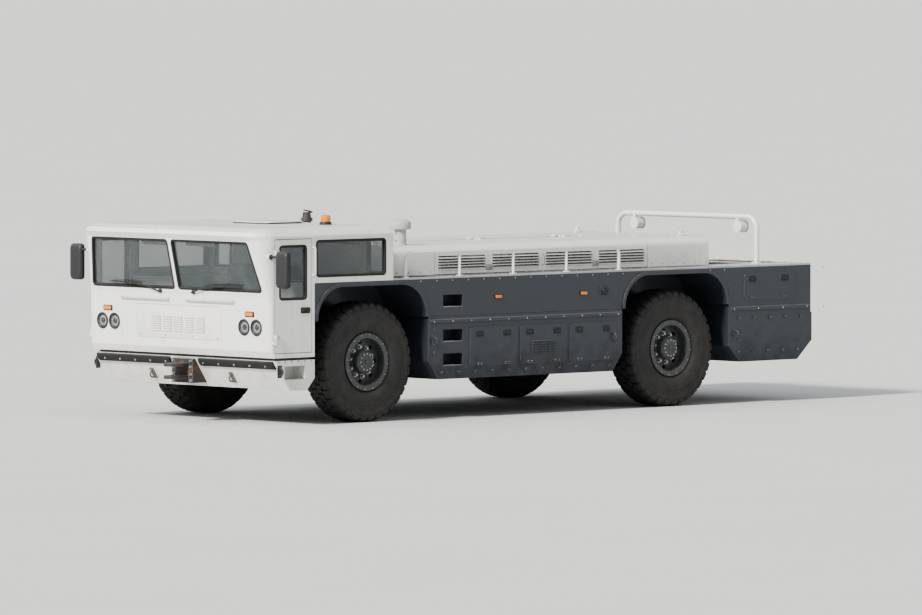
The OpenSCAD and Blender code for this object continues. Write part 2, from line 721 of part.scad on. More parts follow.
// Engine lid: half of the bonnet's top with its louvred side, hinged along the centre beam
module lid() color([0.90, 0.90, 0.88]) {
    lid_x = [lid_back_x + move_gap, lid_front_x - move_gap];
    bank_l = (lid_x[1] - lid_x[0]) / louvre_banks;
    banks = [for (i = [0 : louvre_banks - 1])
        [lid_x[0] + i * bank_l + louvre_end, lid_x[0] + (i + 1) * bank_l - louvre_end]];
    difference() {
        along_x(lid_x) intersection() {
            difference() {
                bonnet_outline(0, walkway_h);
                bonnet_outline(bonnet_t, walkway_h - eps);
            }
            translate([lid_hinge_y, walkway_h + move_gap]) square([bonnet_w, bonnet_h]);
        }
        for (x = lid_hinge_x)
            bar_x([x - 60 - move_gap, lid_hinge_y, lid_hinge_h], 2 * (lid_pin_r + 11), 66);
        for (x = banks) slab(x, [bonnet_y - bonnet_t - eps, bonnet_y + eps], louvre_z);
    }
    for (x = banks) louvre_bank(x);
    for (x = lid_hinge_x) difference() {
        union() {
            bar_x([x, lid_hinge_y, lid_hinge_h], 30, 60);
            slab([x, x + 60], [lid_hinge_y, lid_hinge_y + 60], [bonnet_h - eps, bonnet_h + 14]);
        }
        bar_x([x - eps, lid_hinge_y, lid_hinge_h], 2 * (lid_pin_r + run_gap), 62);
    }
}

module engine_lid_left() lid();
module engine_lid_right() mirror([0, 1, 0]) lid();

radiator_room = 900;
pump_room = 500;
engine_room_h = 160;

module engine() color([0.35, 0.36, 0.34])
    slab([lid_back_x + radiator_room, lid_front_x - pump_room], [-engine_w / 2, engine_w / 2],
        [frame_h, bonnet_h - engine_room_h]);

// Upright exhaust silencer with its tail pipe on the bonnet's front
module exhaust() color([0.45, 0.43, 0.41]) translate([lid_front_x + 260, -bonnet_y + 330, bonnet_h + seat_gap]) {
    cylinder(d = 150, h = 40);
    cylinder(d = 110, h = 300);
    translate([0, 0, 300 - eps]) cylinder(d1 = 110, d2 = 90, h = 60);
}

// Air intake with its round cap on the bonnet's front
module air_cleaner() color([0.10, 0.10, 0.11])
    translate([lid_front_x + 260, bonnet_y - 330, bonnet_h + seat_gap]) {
        cylinder(d = 140, h = 200);
        translate([0, 0, 190]) cylinder(d = 260, h = 90);
        translate([0, 0, 280 - eps]) cylinder(d1 = 260, d2 = 120, h = 40);
    }

// Round lamps let into the cab's front under the windscreen
module headlamps() color([0.85, 0.86, 0.88])
    for (side = [LEFT, RIGHT], y = headlamp_y) on_side(side)
        bar_x([front_panel_x(headlamp_h) - headlamp_depth + seat_gap, y, headlamp_h], headlamp_d, 40);

module tail_lamps() color([0.55, 0.06, 0.05])
    for (side = [LEFT, RIGHT]) on_side(side)
        slab([tail_back_x - 40, tail_back_x - seat_gap], [side_y - 280, side_y - 60],
            [belly_h + 700, belly_h + 800]);

module beacon() color([0.90, 0.45, 0.05]) translate([cab_back_x + 420, frame_y + 200, roof_h + seat_gap]) {
    cylinder(d = 150, h = 30);
    cylinder(d = 120, h = 120);
}

hoop_y = side_y - 400;
hoop_d = 70;
hoop_bar_h = roof_h - 60;
lamp_d = 150;

// Hoop over the rear deck, with two work lamps that light the rear coupling
module lamp_hoop() color([0.92, 0.92, 0.90]) {
    foot_h = walkway_h + seat_gap;
    translate([lamp_post_x, 0, foot_h]) tube_hoop(hoop_y, hoop_bar_h - foot_h, 160, hoop_d);
    for (side = [LEFT, RIGHT]) on_side(side) {
        lamp_y = hoop_y - 320;
        lamp_h = hoop_bar_h - hoop_d / 2 - lamp_d / 2 - 15;
        translate([lamp_post_x, hoop_y, foot_h]) cylinder(d = 140, h = 12);
        slab([lamp_post_x - 30, lamp_post_x + 30], [lamp_y - 25, lamp_y + 25], [lamp_h, hoop_bar_h]);
        bar_x([lamp_post_x - 90, lamp_y, lamp_h], lamp_d, 120);
    }
}

// Door mirrors on arms from the front corners of the cab
module mirrors() color([0.10, 0.10, 0.11]) for (side = [LEFT, RIGHT]) on_side(side) {
    bar_y([mirror_arm[0], mirror_arm[1] + seat_gap, mirror_arm[2]], 30, 180);
    translate([mirror_arm[0] - 35, side_y + 225, mirror_arm[2] - 150]) along_x([0, 70]) round_rect(210, 440, 45);
}

rail_y = side_y - 60;
rail_d = 42;
rail_bend_r = 120;
rail_posts = 3;

// Rails along the outer edge of the walkways: a bent tube with posts between its ends
module handrails() color([0.92, 0.92, 0.90]) {
    rail_x = [belly_back_x, cab_back_x - 250];
    rail_l = rail_x[1] - rail_x[0];
    rail_rise = bonnet_rise - 60;
    for (side = [LEFT, RIGHT]) on_side(side) translate([rail_x[0], rail_y, walkway_h + seat_gap]) {
        translate([rail_l / 2, 0, 0]) rotate([0, 0, 90]) tube_hoop(rail_l / 2, rail_rise, rail_bend_r, rail_d);
        for (i = [1 : rail_posts])
            translate([i * rail_l / (rail_posts + 1), 0, 0]) cylinder(d = 34, h = rail_rise);
        for (i = [0 : rail_posts + 1])
            translate([i * rail_l / (rail_posts + 1), 0, 0]) cylinder(d = 90, h = 10);
    }
}

diff_d = 440;
yoke_back = 160;
yoke_ear_z = [130, 200];
knuckle_gap = 8;

// Axle tube with its differential and the yokes that hold the kingpins
module axle(x, seat_h) color([0.12, 0.12, 0.13]) translate([x, 0, axle_z]) difference() {
    union() {
        bar_y([0, -kingpin_y + yoke_back, 0], axle_d, 2 * (kingpin_y - yoke_back));
        rotate([-90, 0, 0]) cylinder(d = diff_d, h = 300, center = true);
        bar_x([-diff_d / 2 - 60, 0, 0], 260, diff_d + 60);
        for (side = [LEFT, RIGHT]) on_side(side) {
            slab([-140, 140], [kingpin_y - yoke_back - 50, kingpin_y - yoke_back + 40],
                [-yoke_ear_z[1], yoke_ear_z[1]]);
            for (z = [-yoke_ear_z[1], yoke_ear_z[0]])
                translate([0, 0, z]) linear_extrude(yoke_ear_z[1] - yoke_ear_z[0]) union() {
                    translate([-80, kingpin_y - yoke_back]) square([160, yoke_back]);
                    translate([0, kingpin_y]) circle(r = 80);
                }
            slab([-160, 160], [frame_y - 260, frame_y - 100], [0, seat_h - axle_z - seat_gap]);
        }
    }
    for (side = [LEFT, RIGHT]) on_side(side)
        translate([0, kingpin_y, -300]) cylinder(r = kingpin_d / 2 + run_gap, h = 600);
}

module axle_front() axle(front_axle_x, frame_step_h);
module axle_rear() axle(rear_axle_x, frame_step_h + 60);

arm_z = -yoke_ear_z[1] - 50;
spindle_out = 110;

// Steering knuckle of the left side: kingpin, hub carrier, brake drum, spindle and steering arm
module knuckle(x) color([0.15, 0.15, 0.16]) translate([x, kingpin_y, axle_z]) {
    carrier_z = yoke_ear_z[0] - knuckle_gap;
    translate([0, 0, -carrier_z]) cylinder(d = 200, h = 2 * carrier_z);
    translate([0, 0, arm_z - 30]) cylinder(d = kingpin_d, h = yoke_ear_z[1] - arm_z + 40);
    bar_y([0, 60, 0], 220, 60);
    bar_y([0, 100, 0], 460, 90);
    bar_y([0, 150, 0], spindle_d, wheel_y + spindle_out - kingpin_y - 150);
    translate([0, 0, arm_z - 30]) linear_extrude(36) union() {
        translate([-steering_arm_l, -45]) square([steering_arm_l, 90]);
        circle(r = 70);
        translate([-steering_arm_l, 0]) circle(r = 50);
    }
    translate([-steering_arm_l, 0, arm_z - 100]) cylinder(d = 40, h = 90);
}

module knuckle_front_left() knuckle(front_axle_x);
module knuckle_front_right() mirror([0, 1, 0]) knuckle(front_axle_x);
module knuckle_rear_left() knuckle(rear_axle_x);
module knuckle_rear_right() mirror([0, 1, 0]) knuckle(rear_axle_x);

// Track rod between the steering arms of an axle
module track_rod(x) color([0.15, 0.15, 0.16]) translate([x - steering_arm_l, 0, axle_z + arm_z - 70]) difference() {
    union() {
        bar_y([0, -kingpin_y + 30, 0], track_rod_d, 2 * kingpin_y - 60);
        for (side = [LEFT, RIGHT]) translate([0, side * kingpin_y, 0]) cylinder(d = 90, h = 56, center = true);
    }
    for (side = [LEFT, RIGHT])
        translate([0, side * kingpin_y, 0]) cylinder(d = 40 + 2 * run_gap, h = 100, center = true);
}

module track_rod_front() track_rod(front_axle_x);
module track_rod_rear() track_rod(rear_axle_x);

flange_h = 30;
flange_t = 20;
hub_out = 175;
disc_out = [25, 60];

// Rim with its wheel disc and planetary hub, in half section: radius, distance out from the middle
module rim(x) color([0.30, 0.31, 0.32]) translate([x, wheel_y, axle_z]) rotate([-90, 0, 0]) {
    rim_r = rim_d / 2;
    well_r = rim_r - 30;
    bore_r = spindle_d / 2 + run_gap;
    half_w = tyre_w / 2 - 40;
    difference() {
        rotate_extrude() polygon([
            [bore_r, -20], [150, -20], [190, disc_out[0]], [well_r, disc_out[0]],
            [well_r, -half_w], [rim_r + flange_h, -half_w], [rim_r + flange_h, -half_w + flange_t],
            [rim_r, -half_w + flange_t], [rim_r, half_w - flange_t], [rim_r + flange_h, half_w - flange_t],
            [rim_r + flange_h, half_w], [well_r, half_w], [well_r, disc_out[1]], [145, disc_out[1]],
            [138, hub_out - 25], [115, hub_out], [0, hub_out],
            [0, spindle_out + 3], [bore_r, spindle_out + 3]
        ]);
        for (a = [0 : 45 : 315]) rotate([0, 0, a]) translate([rim_r - 80, 0, 0]) cylinder(d = 55, h = 90);
    }
}

// Smooth body of a tyre, in half section: radius, half width
module tyre(x) color([0.07, 0.07, 0.07]) translate([x, wheel_y, axle_z]) rotate([-90, 0, 0]) {
    half_w = tyre_w / 2;
    bead_w = half_w - 40 - flange_t - seat_gap;
    bead_r = rim_d / 2;
    tread_r = tyre_d / 2;
    side = [
        [bead_r + seat_gap, bead_w], [bead_r + flange_h + 6, bead_w], [bead_r + flange_h + 34, half_w - 20],
        [bead_r + 150, half_w], [tread_r - 110, half_w - 4], [tread_r - 22, half_w - 30],
        [tread_r, half_w - 80]
    ];
    rotate_extrude() polygon(concat(
        [for (p = side) [p[0], -p[1]]], [for (i = [len(side) - 1 : -1 : 0]) side[i]]));
}

module rim_front_left() rim(front_axle_x);
module rim_front_right() mirror([0, 1, 0]) rim(front_axle_x);
module rim_rear_left() rim(rear_axle_x);
module rim_rear_right() mirror([0, 1, 0]) rim(rear_axle_x);
module tyre_front_left() tyre(front_axle_x);
module tyre_front_right() mirror([0, 1, 0]) tyre(front_axle_x);
module tyre_rear_left() tyre(rear_axle_x);
module tyre_rear_right() mirror([0, 1, 0]) tyre(rear_axle_x);

frame_spine();
belly_box();
tail_box();
nose_box();
front_coupling();
rear_coupling();
flank_left();
flank_right();
deck_left();
deck_right();
cab_shell();
cab_floor();
cab_glass();
dashboard();
cab_seats();
bonnet_front();
bonnet_rear();
radiator_grille();
engine();
exhaust();
air_cleaner();
headlamps();
tail_lamps();
beacon();
lamp_hoop();
mirrors();
handrails();
axle_front();
axle_rear();
steering_wheel();
door_left();
door_right();
door_glass_left();
door_glass_right();
engine_lid_left();
engine_lid_right();
knuckle_front_left();
knuckle_front_right();
knuckle_rear_left();
knuckle_rear_right();
rim_front_left();
rim_front_right();
rim_rear_left();
rim_rear_right();
tyre_front_left();
tyre_front_right();
tyre_rear_left();
tyre_rear_right();
track_rod_front();
track_rod_rear();
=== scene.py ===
# Looks of a heavy aircraft pushback tractor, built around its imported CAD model. Metres, +X forward, +Z up.
import json
import math

import bmesh
import bpy
from mathutils import Matrix, Vector


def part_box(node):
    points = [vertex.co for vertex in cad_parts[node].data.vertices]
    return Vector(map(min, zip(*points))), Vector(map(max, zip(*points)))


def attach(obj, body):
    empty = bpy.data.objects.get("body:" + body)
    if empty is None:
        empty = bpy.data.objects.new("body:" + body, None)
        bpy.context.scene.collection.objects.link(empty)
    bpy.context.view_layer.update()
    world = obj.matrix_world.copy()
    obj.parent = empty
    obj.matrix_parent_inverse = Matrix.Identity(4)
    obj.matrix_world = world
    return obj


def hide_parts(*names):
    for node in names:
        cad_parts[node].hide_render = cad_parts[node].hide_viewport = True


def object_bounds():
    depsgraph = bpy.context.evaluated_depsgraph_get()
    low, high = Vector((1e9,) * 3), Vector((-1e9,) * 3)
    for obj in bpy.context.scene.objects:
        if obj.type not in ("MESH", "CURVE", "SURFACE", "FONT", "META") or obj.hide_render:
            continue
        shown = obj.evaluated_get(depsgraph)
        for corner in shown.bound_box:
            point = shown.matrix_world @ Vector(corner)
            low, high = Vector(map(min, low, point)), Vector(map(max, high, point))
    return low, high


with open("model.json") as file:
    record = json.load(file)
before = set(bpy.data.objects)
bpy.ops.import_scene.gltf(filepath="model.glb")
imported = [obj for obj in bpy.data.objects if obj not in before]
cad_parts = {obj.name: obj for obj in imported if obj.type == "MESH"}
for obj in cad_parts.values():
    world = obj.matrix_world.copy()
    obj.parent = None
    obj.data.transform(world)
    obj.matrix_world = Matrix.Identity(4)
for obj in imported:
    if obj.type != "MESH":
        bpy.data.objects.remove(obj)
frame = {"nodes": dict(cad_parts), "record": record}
CAD_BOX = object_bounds()
NODES = frame["nodes"]
LEFT, RIGHT = 1, -1
SIDES = {"left": LEFT, "right": RIGHT}
CORNERS = {"front_left": LEFT, "front_right": RIGHT, "rear_left": LEFT, "rear_right": RIGHT}
FORWARD, REARWARD = Vector((1, 0, 0)), Vector((-1, 0, 0))
SIDEWAYS, UP = Vector((0, 1, 0)), Vector((0, 0, 1))


def middle(node):
    """Middle of a CAD node's box."""
    low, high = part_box(node)
    return (low + high) / 2


def foot(node):
    """Middle of the underside of a CAD node's box."""
    place = middle(node)
    place.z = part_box(node)[0].z
    return place


# Places and sizes read from the frame
HULL_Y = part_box("nose_box")[1].y
WALKWAY_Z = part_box("deck_left")[1].z
BONNET_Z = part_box("bonnet_rear")[1].z
BONNET_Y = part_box("bonnet_rear")[1].y
ROOF_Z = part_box("cab_shell")[1].z
CAB_BACK_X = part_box("cab_shell")[0].x
AXLE_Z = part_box("tyre_front_left")[1].z / 2


# Shader sums written as Python expressions
class Wire:
    """A socket of a material's tree. Sums on it add Math nodes, with numbers or other wires."""

    def __init__(self, finish, socket):
        self.finish = finish
        self.socket = socket

    def sum(self, operation, first, second=0.0, clamp=False):
        settings = {"operation": operation, "use_clamp": clamp}
        return self.finish.node("ShaderNodeMath", settings, {0: first, 1: second})

    def __add__(self, other):
        return self.sum("ADD", self, other)

    def __radd__(self, other):
        return self.sum("ADD", other, self)

    def __sub__(self, other):
        return self.sum("SUBTRACT", self, other)

    def __rsub__(self, other):
        return self.sum("SUBTRACT", other, self)

    def __mul__(self, other):
        return self.sum("MULTIPLY", self, other)

    def __rmul__(self, other):
        return self.sum("MULTIPLY", other, self)

    def __truediv__(self, other):
        return self.sum("DIVIDE", self, other)

    def kept(self):
        """The value held between 0 and 1."""
        return self.sum("ADD", self, 0.0, clamp=True)

    def over(self, start, end):
        """0 below start and 1 above end, smooth between them; start may be the larger."""
        return self.finish.node(
            "ShaderNodeMapRange",
            {"interpolation_type": "SMOOTHSTEP"},
            {"Value": self, "From Min": start, "From Max": end},
        )


class Finish:
    """One procedural material, and the nodes that make it."""

    def __init__(self, name):
        self.material = bpy.data.materials.new(name)
        self.material.use_nodes = True
        self.tree = self.material.node_tree
        self.tree.nodes.clear()
        self.shader = self.tree.nodes.new("ShaderNodeBsdfPrincipled")
        self.output = self.tree.nodes.new("ShaderNodeOutputMaterial")
        self.tree.links.new(self.shader.outputs[0], self.output.inputs[0])
        self.place = self.node("ShaderNodeTexCoord", out="Object")
        split = self.node("ShaderNodeSeparateXYZ", None, {0: self.place})
        outs = split.socket.node.outputs
        self.x, self.y, self.z = (Wire(self, outs[i]) for i in range(3))

    def plug(self, socket, value):
        if isinstance(value, Wire):
            self.tree.links.new(value.socket, socket)
        elif socket.type == "RGBA" and len(value) == 3:
            socket.default_value = (*value, 1.0)
        else:
            socket.default_value = value

    def node(self, kind, settings=None, inputs=None, out=0):
        """Adds a node: its settings first, then the values or wires of its sockets."""
        made = self.tree.nodes.new(kind)
        for key, value in (settings or {}).items():
            if key == "stops":
                ramp = made.color_ramp
                while len(ramp.elements) < len(value):
                    ramp.elements.new(0.5)
                for element, (at, colour) in zip(ramp.elements, value):
                    element.position = at
                    element.color = (*colour, 1.0)
            else:
                setattr(made, key, value)
        for key, value in (inputs or {}).items():
            self.plug(made.inputs[key], value)
        return Wire(self, made.outputs[out])

    def set(self, **values):
        """Plain numbers and colours, or wires, on the shader's own sockets; _ stands for a space."""
        for key, value in values.items():
            self.plug(self.shader.inputs[key.replace("_", " ")], value)
        return self

    def stretched(self, x, y, z):
        """The place, with each direction scaled."""
        return self.node("ShaderNodeMapping", None, {"Vector": self.place, "Scale": (x, y, z)})

    def noise(self, scale, detail=4.0, rough=0.55, at=None):
        inputs = {"Vector": at or self.place, "Scale": scale, "Detail": detail, "Roughness": rough}
        return self.node("ShaderNodeTexNoise", None, inputs)

    def cells(self, scale, feature="F1", out="Distance"):
        inputs = {"Vector": self.place, "Scale": scale}
        return self.node("ShaderNodeTexVoronoi", {"feature": feature}, inputs, out)

    def blend(self, share, first, second):
        """A colour between two colours, by a share."""
        made = self.tree.nodes.new("ShaderNodeMix")
        made.data_type = "RGBA"
        colour_in = [s for s in made.inputs if s.type == "RGBA"]
        self.plug(made.inputs[0], share)
        self.plug(colour_in[0], first)
        self.plug(colour_in[1], second)
        return Wire(self, [s for s in made.outputs if s.type == "RGBA"][0])

    def upward(self):
        """How much the surface faces up, from the piece's own normal."""
        normal = self.node("ShaderNodeTexCoord", out="Normal")
        split = self.node("ShaderNodeSeparateXYZ", None, {0: normal})
        return Wire(self, split.socket.node.outputs[2])

    def soft_normal(self, radius):
        """The normal with edges rounded to a radius."""
        return self.node("ShaderNodeBevel", {"samples": 4}, {"Radius": radius})

    def edges(self, rounded):
        """0 on flat places and more along edges, from a rounded normal."""
        true = self.node("ShaderNodeNewGeometry", out="Normal")
        dot = self.node("ShaderNodeVectorMath", {"operation": "DOT_PRODUCT"}, {0: rounded, 1: true}, "Value")
        return 1.0 - dot

    def bump(self, height, strength, distance, normal=None):
        inputs = {"Height": height, "Strength": strength, "Distance": distance}
        if normal is not None:
            inputs["Normal"] = normal
        self.set(Normal=self.node("ShaderNodeBump", None, inputs))
        return self


DUST = (0.33, 0.30, 0.255)
GRIME = (0.030, 0.027, 0.024)
ROAD_FILM = (0.020, 0.019, 0.018)
BARE_STEEL = (0.30, 0.29, 0.28)
PRIMER = (0.17, 0.16, 0.15)


def sheet_paint(
    name, colour, gloss_rough, chip_colour, low_dust, top_dust, edge_radius, wear, low_colour=DUST
):
    """Painted sheet metal: faint ripple, dust low down and on top, rain streaks and worn edges."""
    f = Finish(name)
    cloud = f.noise(0.9, 3.0)
    fine = f.noise(38.0, 5.0, 0.65)
    mottle = f.noise(6.5, 6.0, 0.6)
    rounded = f.soft_normal(edge_radius)
    edge = f.edges(rounded)
    dull, bright = tuple(c * 0.90 for c in colour), tuple(min(1.0, c * 1.05) for c in colour)
    shade = f.blend((cloud - 0.5) * 0.55 + 0.5, dull, bright)
    streaks = f.noise(1.0, 5.0, 0.6, f.stretched(13.0, 13.0, 0.55))
    streak = (streaks.over(0.50, 0.74) * mottle.over(0.35, 0.65)) * 0.42
    spray = (f.z * -1.0 + 1.05 + (mottle - 0.5) * 1.1).over(0.0, 1.05) * low_dust
    settled = f.upward().over(0.55, 0.95) * (0.35 + mottle * 0.65) * top_dust
    chips = ((edge * 2.6 + (f.noise(55.0, 4.0, 0.7) - 0.5) * 1.35).over(0.52, 0.66) * wear).kept()
    painted = f.blend(streak, shade, tuple(c * 0.52 + g * 0.48 for c, g in zip(colour, GRIME)))
    dusty = f.blend(settled.kept(), f.blend(spray.kept(), painted, low_colour), DUST)
    f.set(
        Base_Color=f.blend(chips, dusty, chip_colour),
        Roughness=(
            gloss_rough + (fine - 0.5) * 0.12 + (spray + settled) * 0.45 + chips * 0.22 + streak * 0.2
        ).kept(),
        Metallic=chips * 0.35,
        Coat_Weight=((1.0 - (spray + settled) * 1.6 - chips) * 0.35).kept(),
    )
    f.shader.inputs["Coat Roughness"].default_value = 0.12
    ripple = f.noise(2.6, 2.0) * 0.6 + f.noise(160.0, 2.0) * 0.035 - chips * 0.08
    return f.bump(ripple, 0.35, 0.004, rounded).material


def white_paint():
    """Weathered gloss white of the cab and bonnet."""
    return sheet_paint("white_paint", (0.82, 0.82, 0.79), 0.24, PRIMER, 0.44, 0.40, 0.006, 0.8)


def hull_paint():
    """Satin dark blue-grey of the hull's flanks and ballast boxes."""
    blue_grey = (0.034, 0.042, 0.052)
    return sheet_paint("hull_paint", blue_grey, 0.40, BARE_STEEL, 0.75, 0.4, 0.007, 0.9, ROAD_FILM)


def frame_paint():
    """Satin black of the frame, axles and steering gear, with oily grime."""
    return sheet_paint("frame_paint", (0.022, 0.023, 0.025), 0.48, (0.12, 0.09, 0.07), 0.75, 0.7, 0.006, 0.6)


def rim_paint():
    """Dark grey wheel paint under brake dust."""
    grey, brake_dust = (0.060, 0.064, 0.069), (0.11, 0.10, 0.09)
    return sheet_paint("rim_paint", grey, 0.42, BARE_STEEL, 0.55, 0.3, 0.004, 0.8, brake_dust)


def rail_paint():
    """White enamel on the rails and the lamp hoop, rubbed through where hands hold it."""
    return sheet_paint("rail_paint", (0.78, 0.78, 0.75), 0.30, BARE_STEEL, 0.2, 0.25, 0.002, 0.6)


def deck_paint():
    """Light grey walkways with sharp grit in the paint, scuffed along the middle."""
    f = Finish("deck_paint")
    grit = f.cells(260.0)
    mottle = f.noise(3.2, 6.0, 0.6)
    lane = (f.noise(1.2, 4.0, 0.6, f.stretched(0.35, 1.6, 1.0)) * 0.6 + mottle * 0.4).over(0.46, 0.62)
    rounded = f.soft_normal(0.004)
    edge = f.edges(rounded)
    chips = (edge * 2.8 + (f.noise(60.0, 4.0, 0.7) - 0.5) * 1.2).over(0.5, 0.62) * 0.8
    walked = f.blend(lane * 0.55, (0.47, 0.475, 0.465), (0.255, 0.25, 0.24))
    spotted = f.blend(f.noise(14.0, 4.0, 0.7).over(0.66, 0.72) * 0.5, walked, GRIME)
    f.set(
        Base_Color=f.blend(chips.kept(), spotted, BARE_STEEL),
        Roughness=(0.78 - lane * 0.18).kept(),
        Metallic=chips * 0.3,
    )
    return f.bump(grit * (1.0 - lane * 0.5), 0.8, 0.0012, rounded).material


def coupling_steel():
    """Dark cast steel of the couplings, polished where towbars rub."""
    f = Finish("coupling_steel")
    rounded = f.soft_normal(0.008)
    edge = f.edges(rounded)
    cast = f.noise(75.0, 5.0, 0.6)
    rust = f.noise(9.0, 6.0, 0.65).over(0.50, 0.68)
    rubbed = (edge * 3.2 + (f.noise(24.0, 4.0) - 0.45) * 1.1).over(0.35, 0.6).kept()
    brown = f.blend(rust * 0.75, (0.060, 0.058, 0.057), (0.16, 0.075, 0.035))
    f.set(
        Base_Color=f.blend(rubbed, brown, (0.42, 0.41, 0.40)),
        Metallic=(0.35 + rubbed * 0.6 - rust * 0.3).kept(),
        Roughness=(0.58 - rubbed * 0.22 + rust * 0.25).kept(),
    )
    return f.bump(cast + rust * 0.3, 0.5, 0.0015, rounded).material


def tyre_rubber():
    """Dusty black rubber: dust on the sidewalls and in the grooves, block tops scrubbed dark."""
    f = Finish("tyre_rubber")
    mottle = f.noise(7.0, 6.0, 0.65)
    fine = f.noise(90.0, 4.0, 0.6)
    top = f.node("ShaderNodeAttribute", {"attribute_name": "tread"}, out="Fac")
    dust = ((mottle * 0.75 + fine * 0.35).over(0.36, 0.82) * 0.20 + 0.03) * (1.0 - top * 0.75)
    f.set(
        Base_Color=f.blend(dust, (0.019, 0.019, 0.020), (0.17, 0.157, 0.137)),
        Roughness=(0.66 + dust * 0.4 + top * 0.08).kept(),
    )
    return f.bump(fine, 0.35, 0.0012).material


def window_glass():
    """Lightly tinted safety glass under an uneven film of dust."""
    f = Finish("window_glass")
    film = (f.noise(2.6, 3.0, 0.5) * 0.7 + f.noise(11.0, 3.0, 0.5) * 0.3).over(0.46, 0.74)
    f.set(
        Base_Color=f.blend(film * 0.22, (0.085, 0.108, 0.112), (0.30, 0.29, 0.27)),
        Roughness=(0.03 + film * 0.09).kept(),
        Alpha=(0.36 + film * 0.08).kept(),
        Coat_Weight=0.6,
    )
    f.shader.inputs["Specular IOR Level"].default_value = 1.0
    return f.material


def grained_plastic(name, colour, rough, grain):
    """Moulded plastic with a leathery grain and a little dust in it."""
    f = Finish(name)
    cells = f.cells(grain, feature="SMOOTH_F1")
    dust = (f.noise(5.0, 5.0, 0.6) * 0.6 + f.upward() * 0.25).over(0.34, 0.8) * 0.28
    f.set(
        Base_Color=f.blend(dust, colour, DUST),
        Roughness=(rough + (f.noise(30.0) - 0.5) * 0.14 + dust * 0.3).kept(),
    )
    return f.bump(cells, 0.35, 0.0008, f.soft_normal(0.003)).material


def cab_plastic():
    """Grained black plastic of the dashboard and mirrors."""
    return grained_plastic("cab_plastic", (0.026, 0.027, 0.029), 0.52, 520.0)


THREADS = 70.0


def seat_fabric():
    """Dark woven seat cloth: threads that cross each other, on the seat and up the backrest alike."""
    f = Finish("seat_fabric")
    threads = {
        along: f.node("ShaderNodeTexWave", {"bands_direction": along}, {"Vector": f.place, "Scale": THREADS})
        for along in "XYZ"
    }
    lying = f.upward().over(0.45, 0.75)
    weft = threads["Z"] + (threads["X"] - threads["Z"]) * lying
    weave = threads["Y"] * 0.5 + weft * 0.5
    worn = f.noise(9.0, 5.0, 0.6).over(0.45, 0.7)
    thread = f.blend(weave, (0.024, 0.028, 0.039), (0.052, 0.059, 0.077))
    f.set(Base_Color=f.blend(worn * 0.3, thread, (0.13, 0.125, 0.115)), Roughness=0.93)
    f.shader.inputs["Sheen Weight"].default_value = 0.35
    return f.bump(weave, 0.6, 0.0009).material


def grille_paint():
    """Black paint on the radiator's slats, with dust on their edges."""
    return sheet_paint("grille_paint", (0.020, 0.021, 0.023), 0.5, BARE_STEEL, 0.3, 0.6, 0.002, 0.4)


def engine_enamel():
    """Grey engine enamel under oil and soot."""
    return sheet_paint("engine_enamel", (0.12, 0.13, 0.12), 0.45, GRIME, 0.2, 0.6, 0.006, 0.3)


def exhaust_steel():
    """Steel stained brown and blue by heat, sooty round the outlet."""
    f = Finish("exhaust_steel")
    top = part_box("exhaust")[1].z
    heat = ((f.z - (top - 0.36)) / 0.36 + (f.noise(7.0, 5.0) - 0.5) * 0.5).kept()
    tint = f.node(
        "ShaderNodeValToRGB",
        {"stops": [(0.0, (0.36, 0.34, 0.32)), (0.4, (0.33, 0.22, 0.12)), (0.7, (0.14, 0.11, 0.13)),
                   (1.0, (0.030, 0.028, 0.027))]},
        {0: heat},
    )
    rust = f.noise(22.0, 6.0, 0.7).over(0.52, 0.66)
    f.set(
        Base_Color=f.blend(rust * 0.55, tint, (0.16, 0.065, 0.028)),
        Metallic=(0.85 - heat * 0.5 - rust * 0.4).kept(),
        Roughness=(0.38 + heat * 0.3 + rust * 0.25).kept(),
    )
    return f.bump(f.noise(120.0, 3.0) + rust * 0.5, 0.3, 0.0008, f.soft_normal(0.002)).material


def lens(name, colour, alpha, flutes):
    """Moulded lamp lens with upright flutes."""
    f = Finish(name)
    ribs = f.node("ShaderNodeTexWave", {"bands_direction": "Y"}, {"Vector": f.place, "Scale": flutes})
    film = f.noise(40.0, 4.0).over(0.5, 0.75)
    f.set(
        Base_Color=f.blend(film * 0.25, colour, DUST),
        Roughness=(0.06 + film * 0.25).kept(),
        Coat_Weight=0.5,
    )
    f.shader.inputs["Alpha"].default_value = alpha
    return f.bump(ribs, 0.7, 0.0015).material


def rubber():
    """Matt black rubber of seals, buffers and mats, greyed by dust."""
    f = Finish("rubber")
    dust = (f.noise(12.0, 6.0, 0.65) * 0.8 + f.upward() * 0.25).over(0.35, 0.85) * 0.35
    shade = f.blend(dust, (0.017, 0.017, 0.018), (0.15, 0.14, 0.125))
    f.set(Base_Color=shade, Roughness=(0.72 + dust * 0.25).kept())
    return f.bump(f.noise(140.0, 3.0), 0.25, 0.0006).material


def zinc():
    """Dull zinc-plated steel of bolts, latches and handles."""
    f = Finish("zinc")
    spots = f.cells(70.0, out="Color")
    shade = f.node("ShaderNodeRGBToBW", None, {0: spots})
    rust = f.noise(26.0, 6.0, 0.7).over(0.58, 0.72)
    plated = f.blend(shade, (0.36, 0.365, 0.37), (0.52, 0.52, 0.51))
    f.set(
        Base_Color=f.blend(rust * 0.6, plated, (0.20, 0.085, 0.035)),
        Metallic=(0.85 - rust * 0.6).kept(),
        Roughness=(0.36 + shade * 0.12 + rust * 0.35).kept(),
    )
    return f.bump(f.noise(180.0, 2.0), 0.15, 0.0003).material


def reflector():
    """Bright dished metal behind the lamps' glass."""
    f = Finish("reflector")
    haze = f.noise(60.0, 4.0).over(0.45, 0.75)
    f.set(Base_Color=f.blend(haze, (0.66, 0.67, 0.68), (0.46, 0.45, 0.43)), Metallic=1.0,
          Roughness=(0.09 + haze * 0.12).kept())
    return f.material


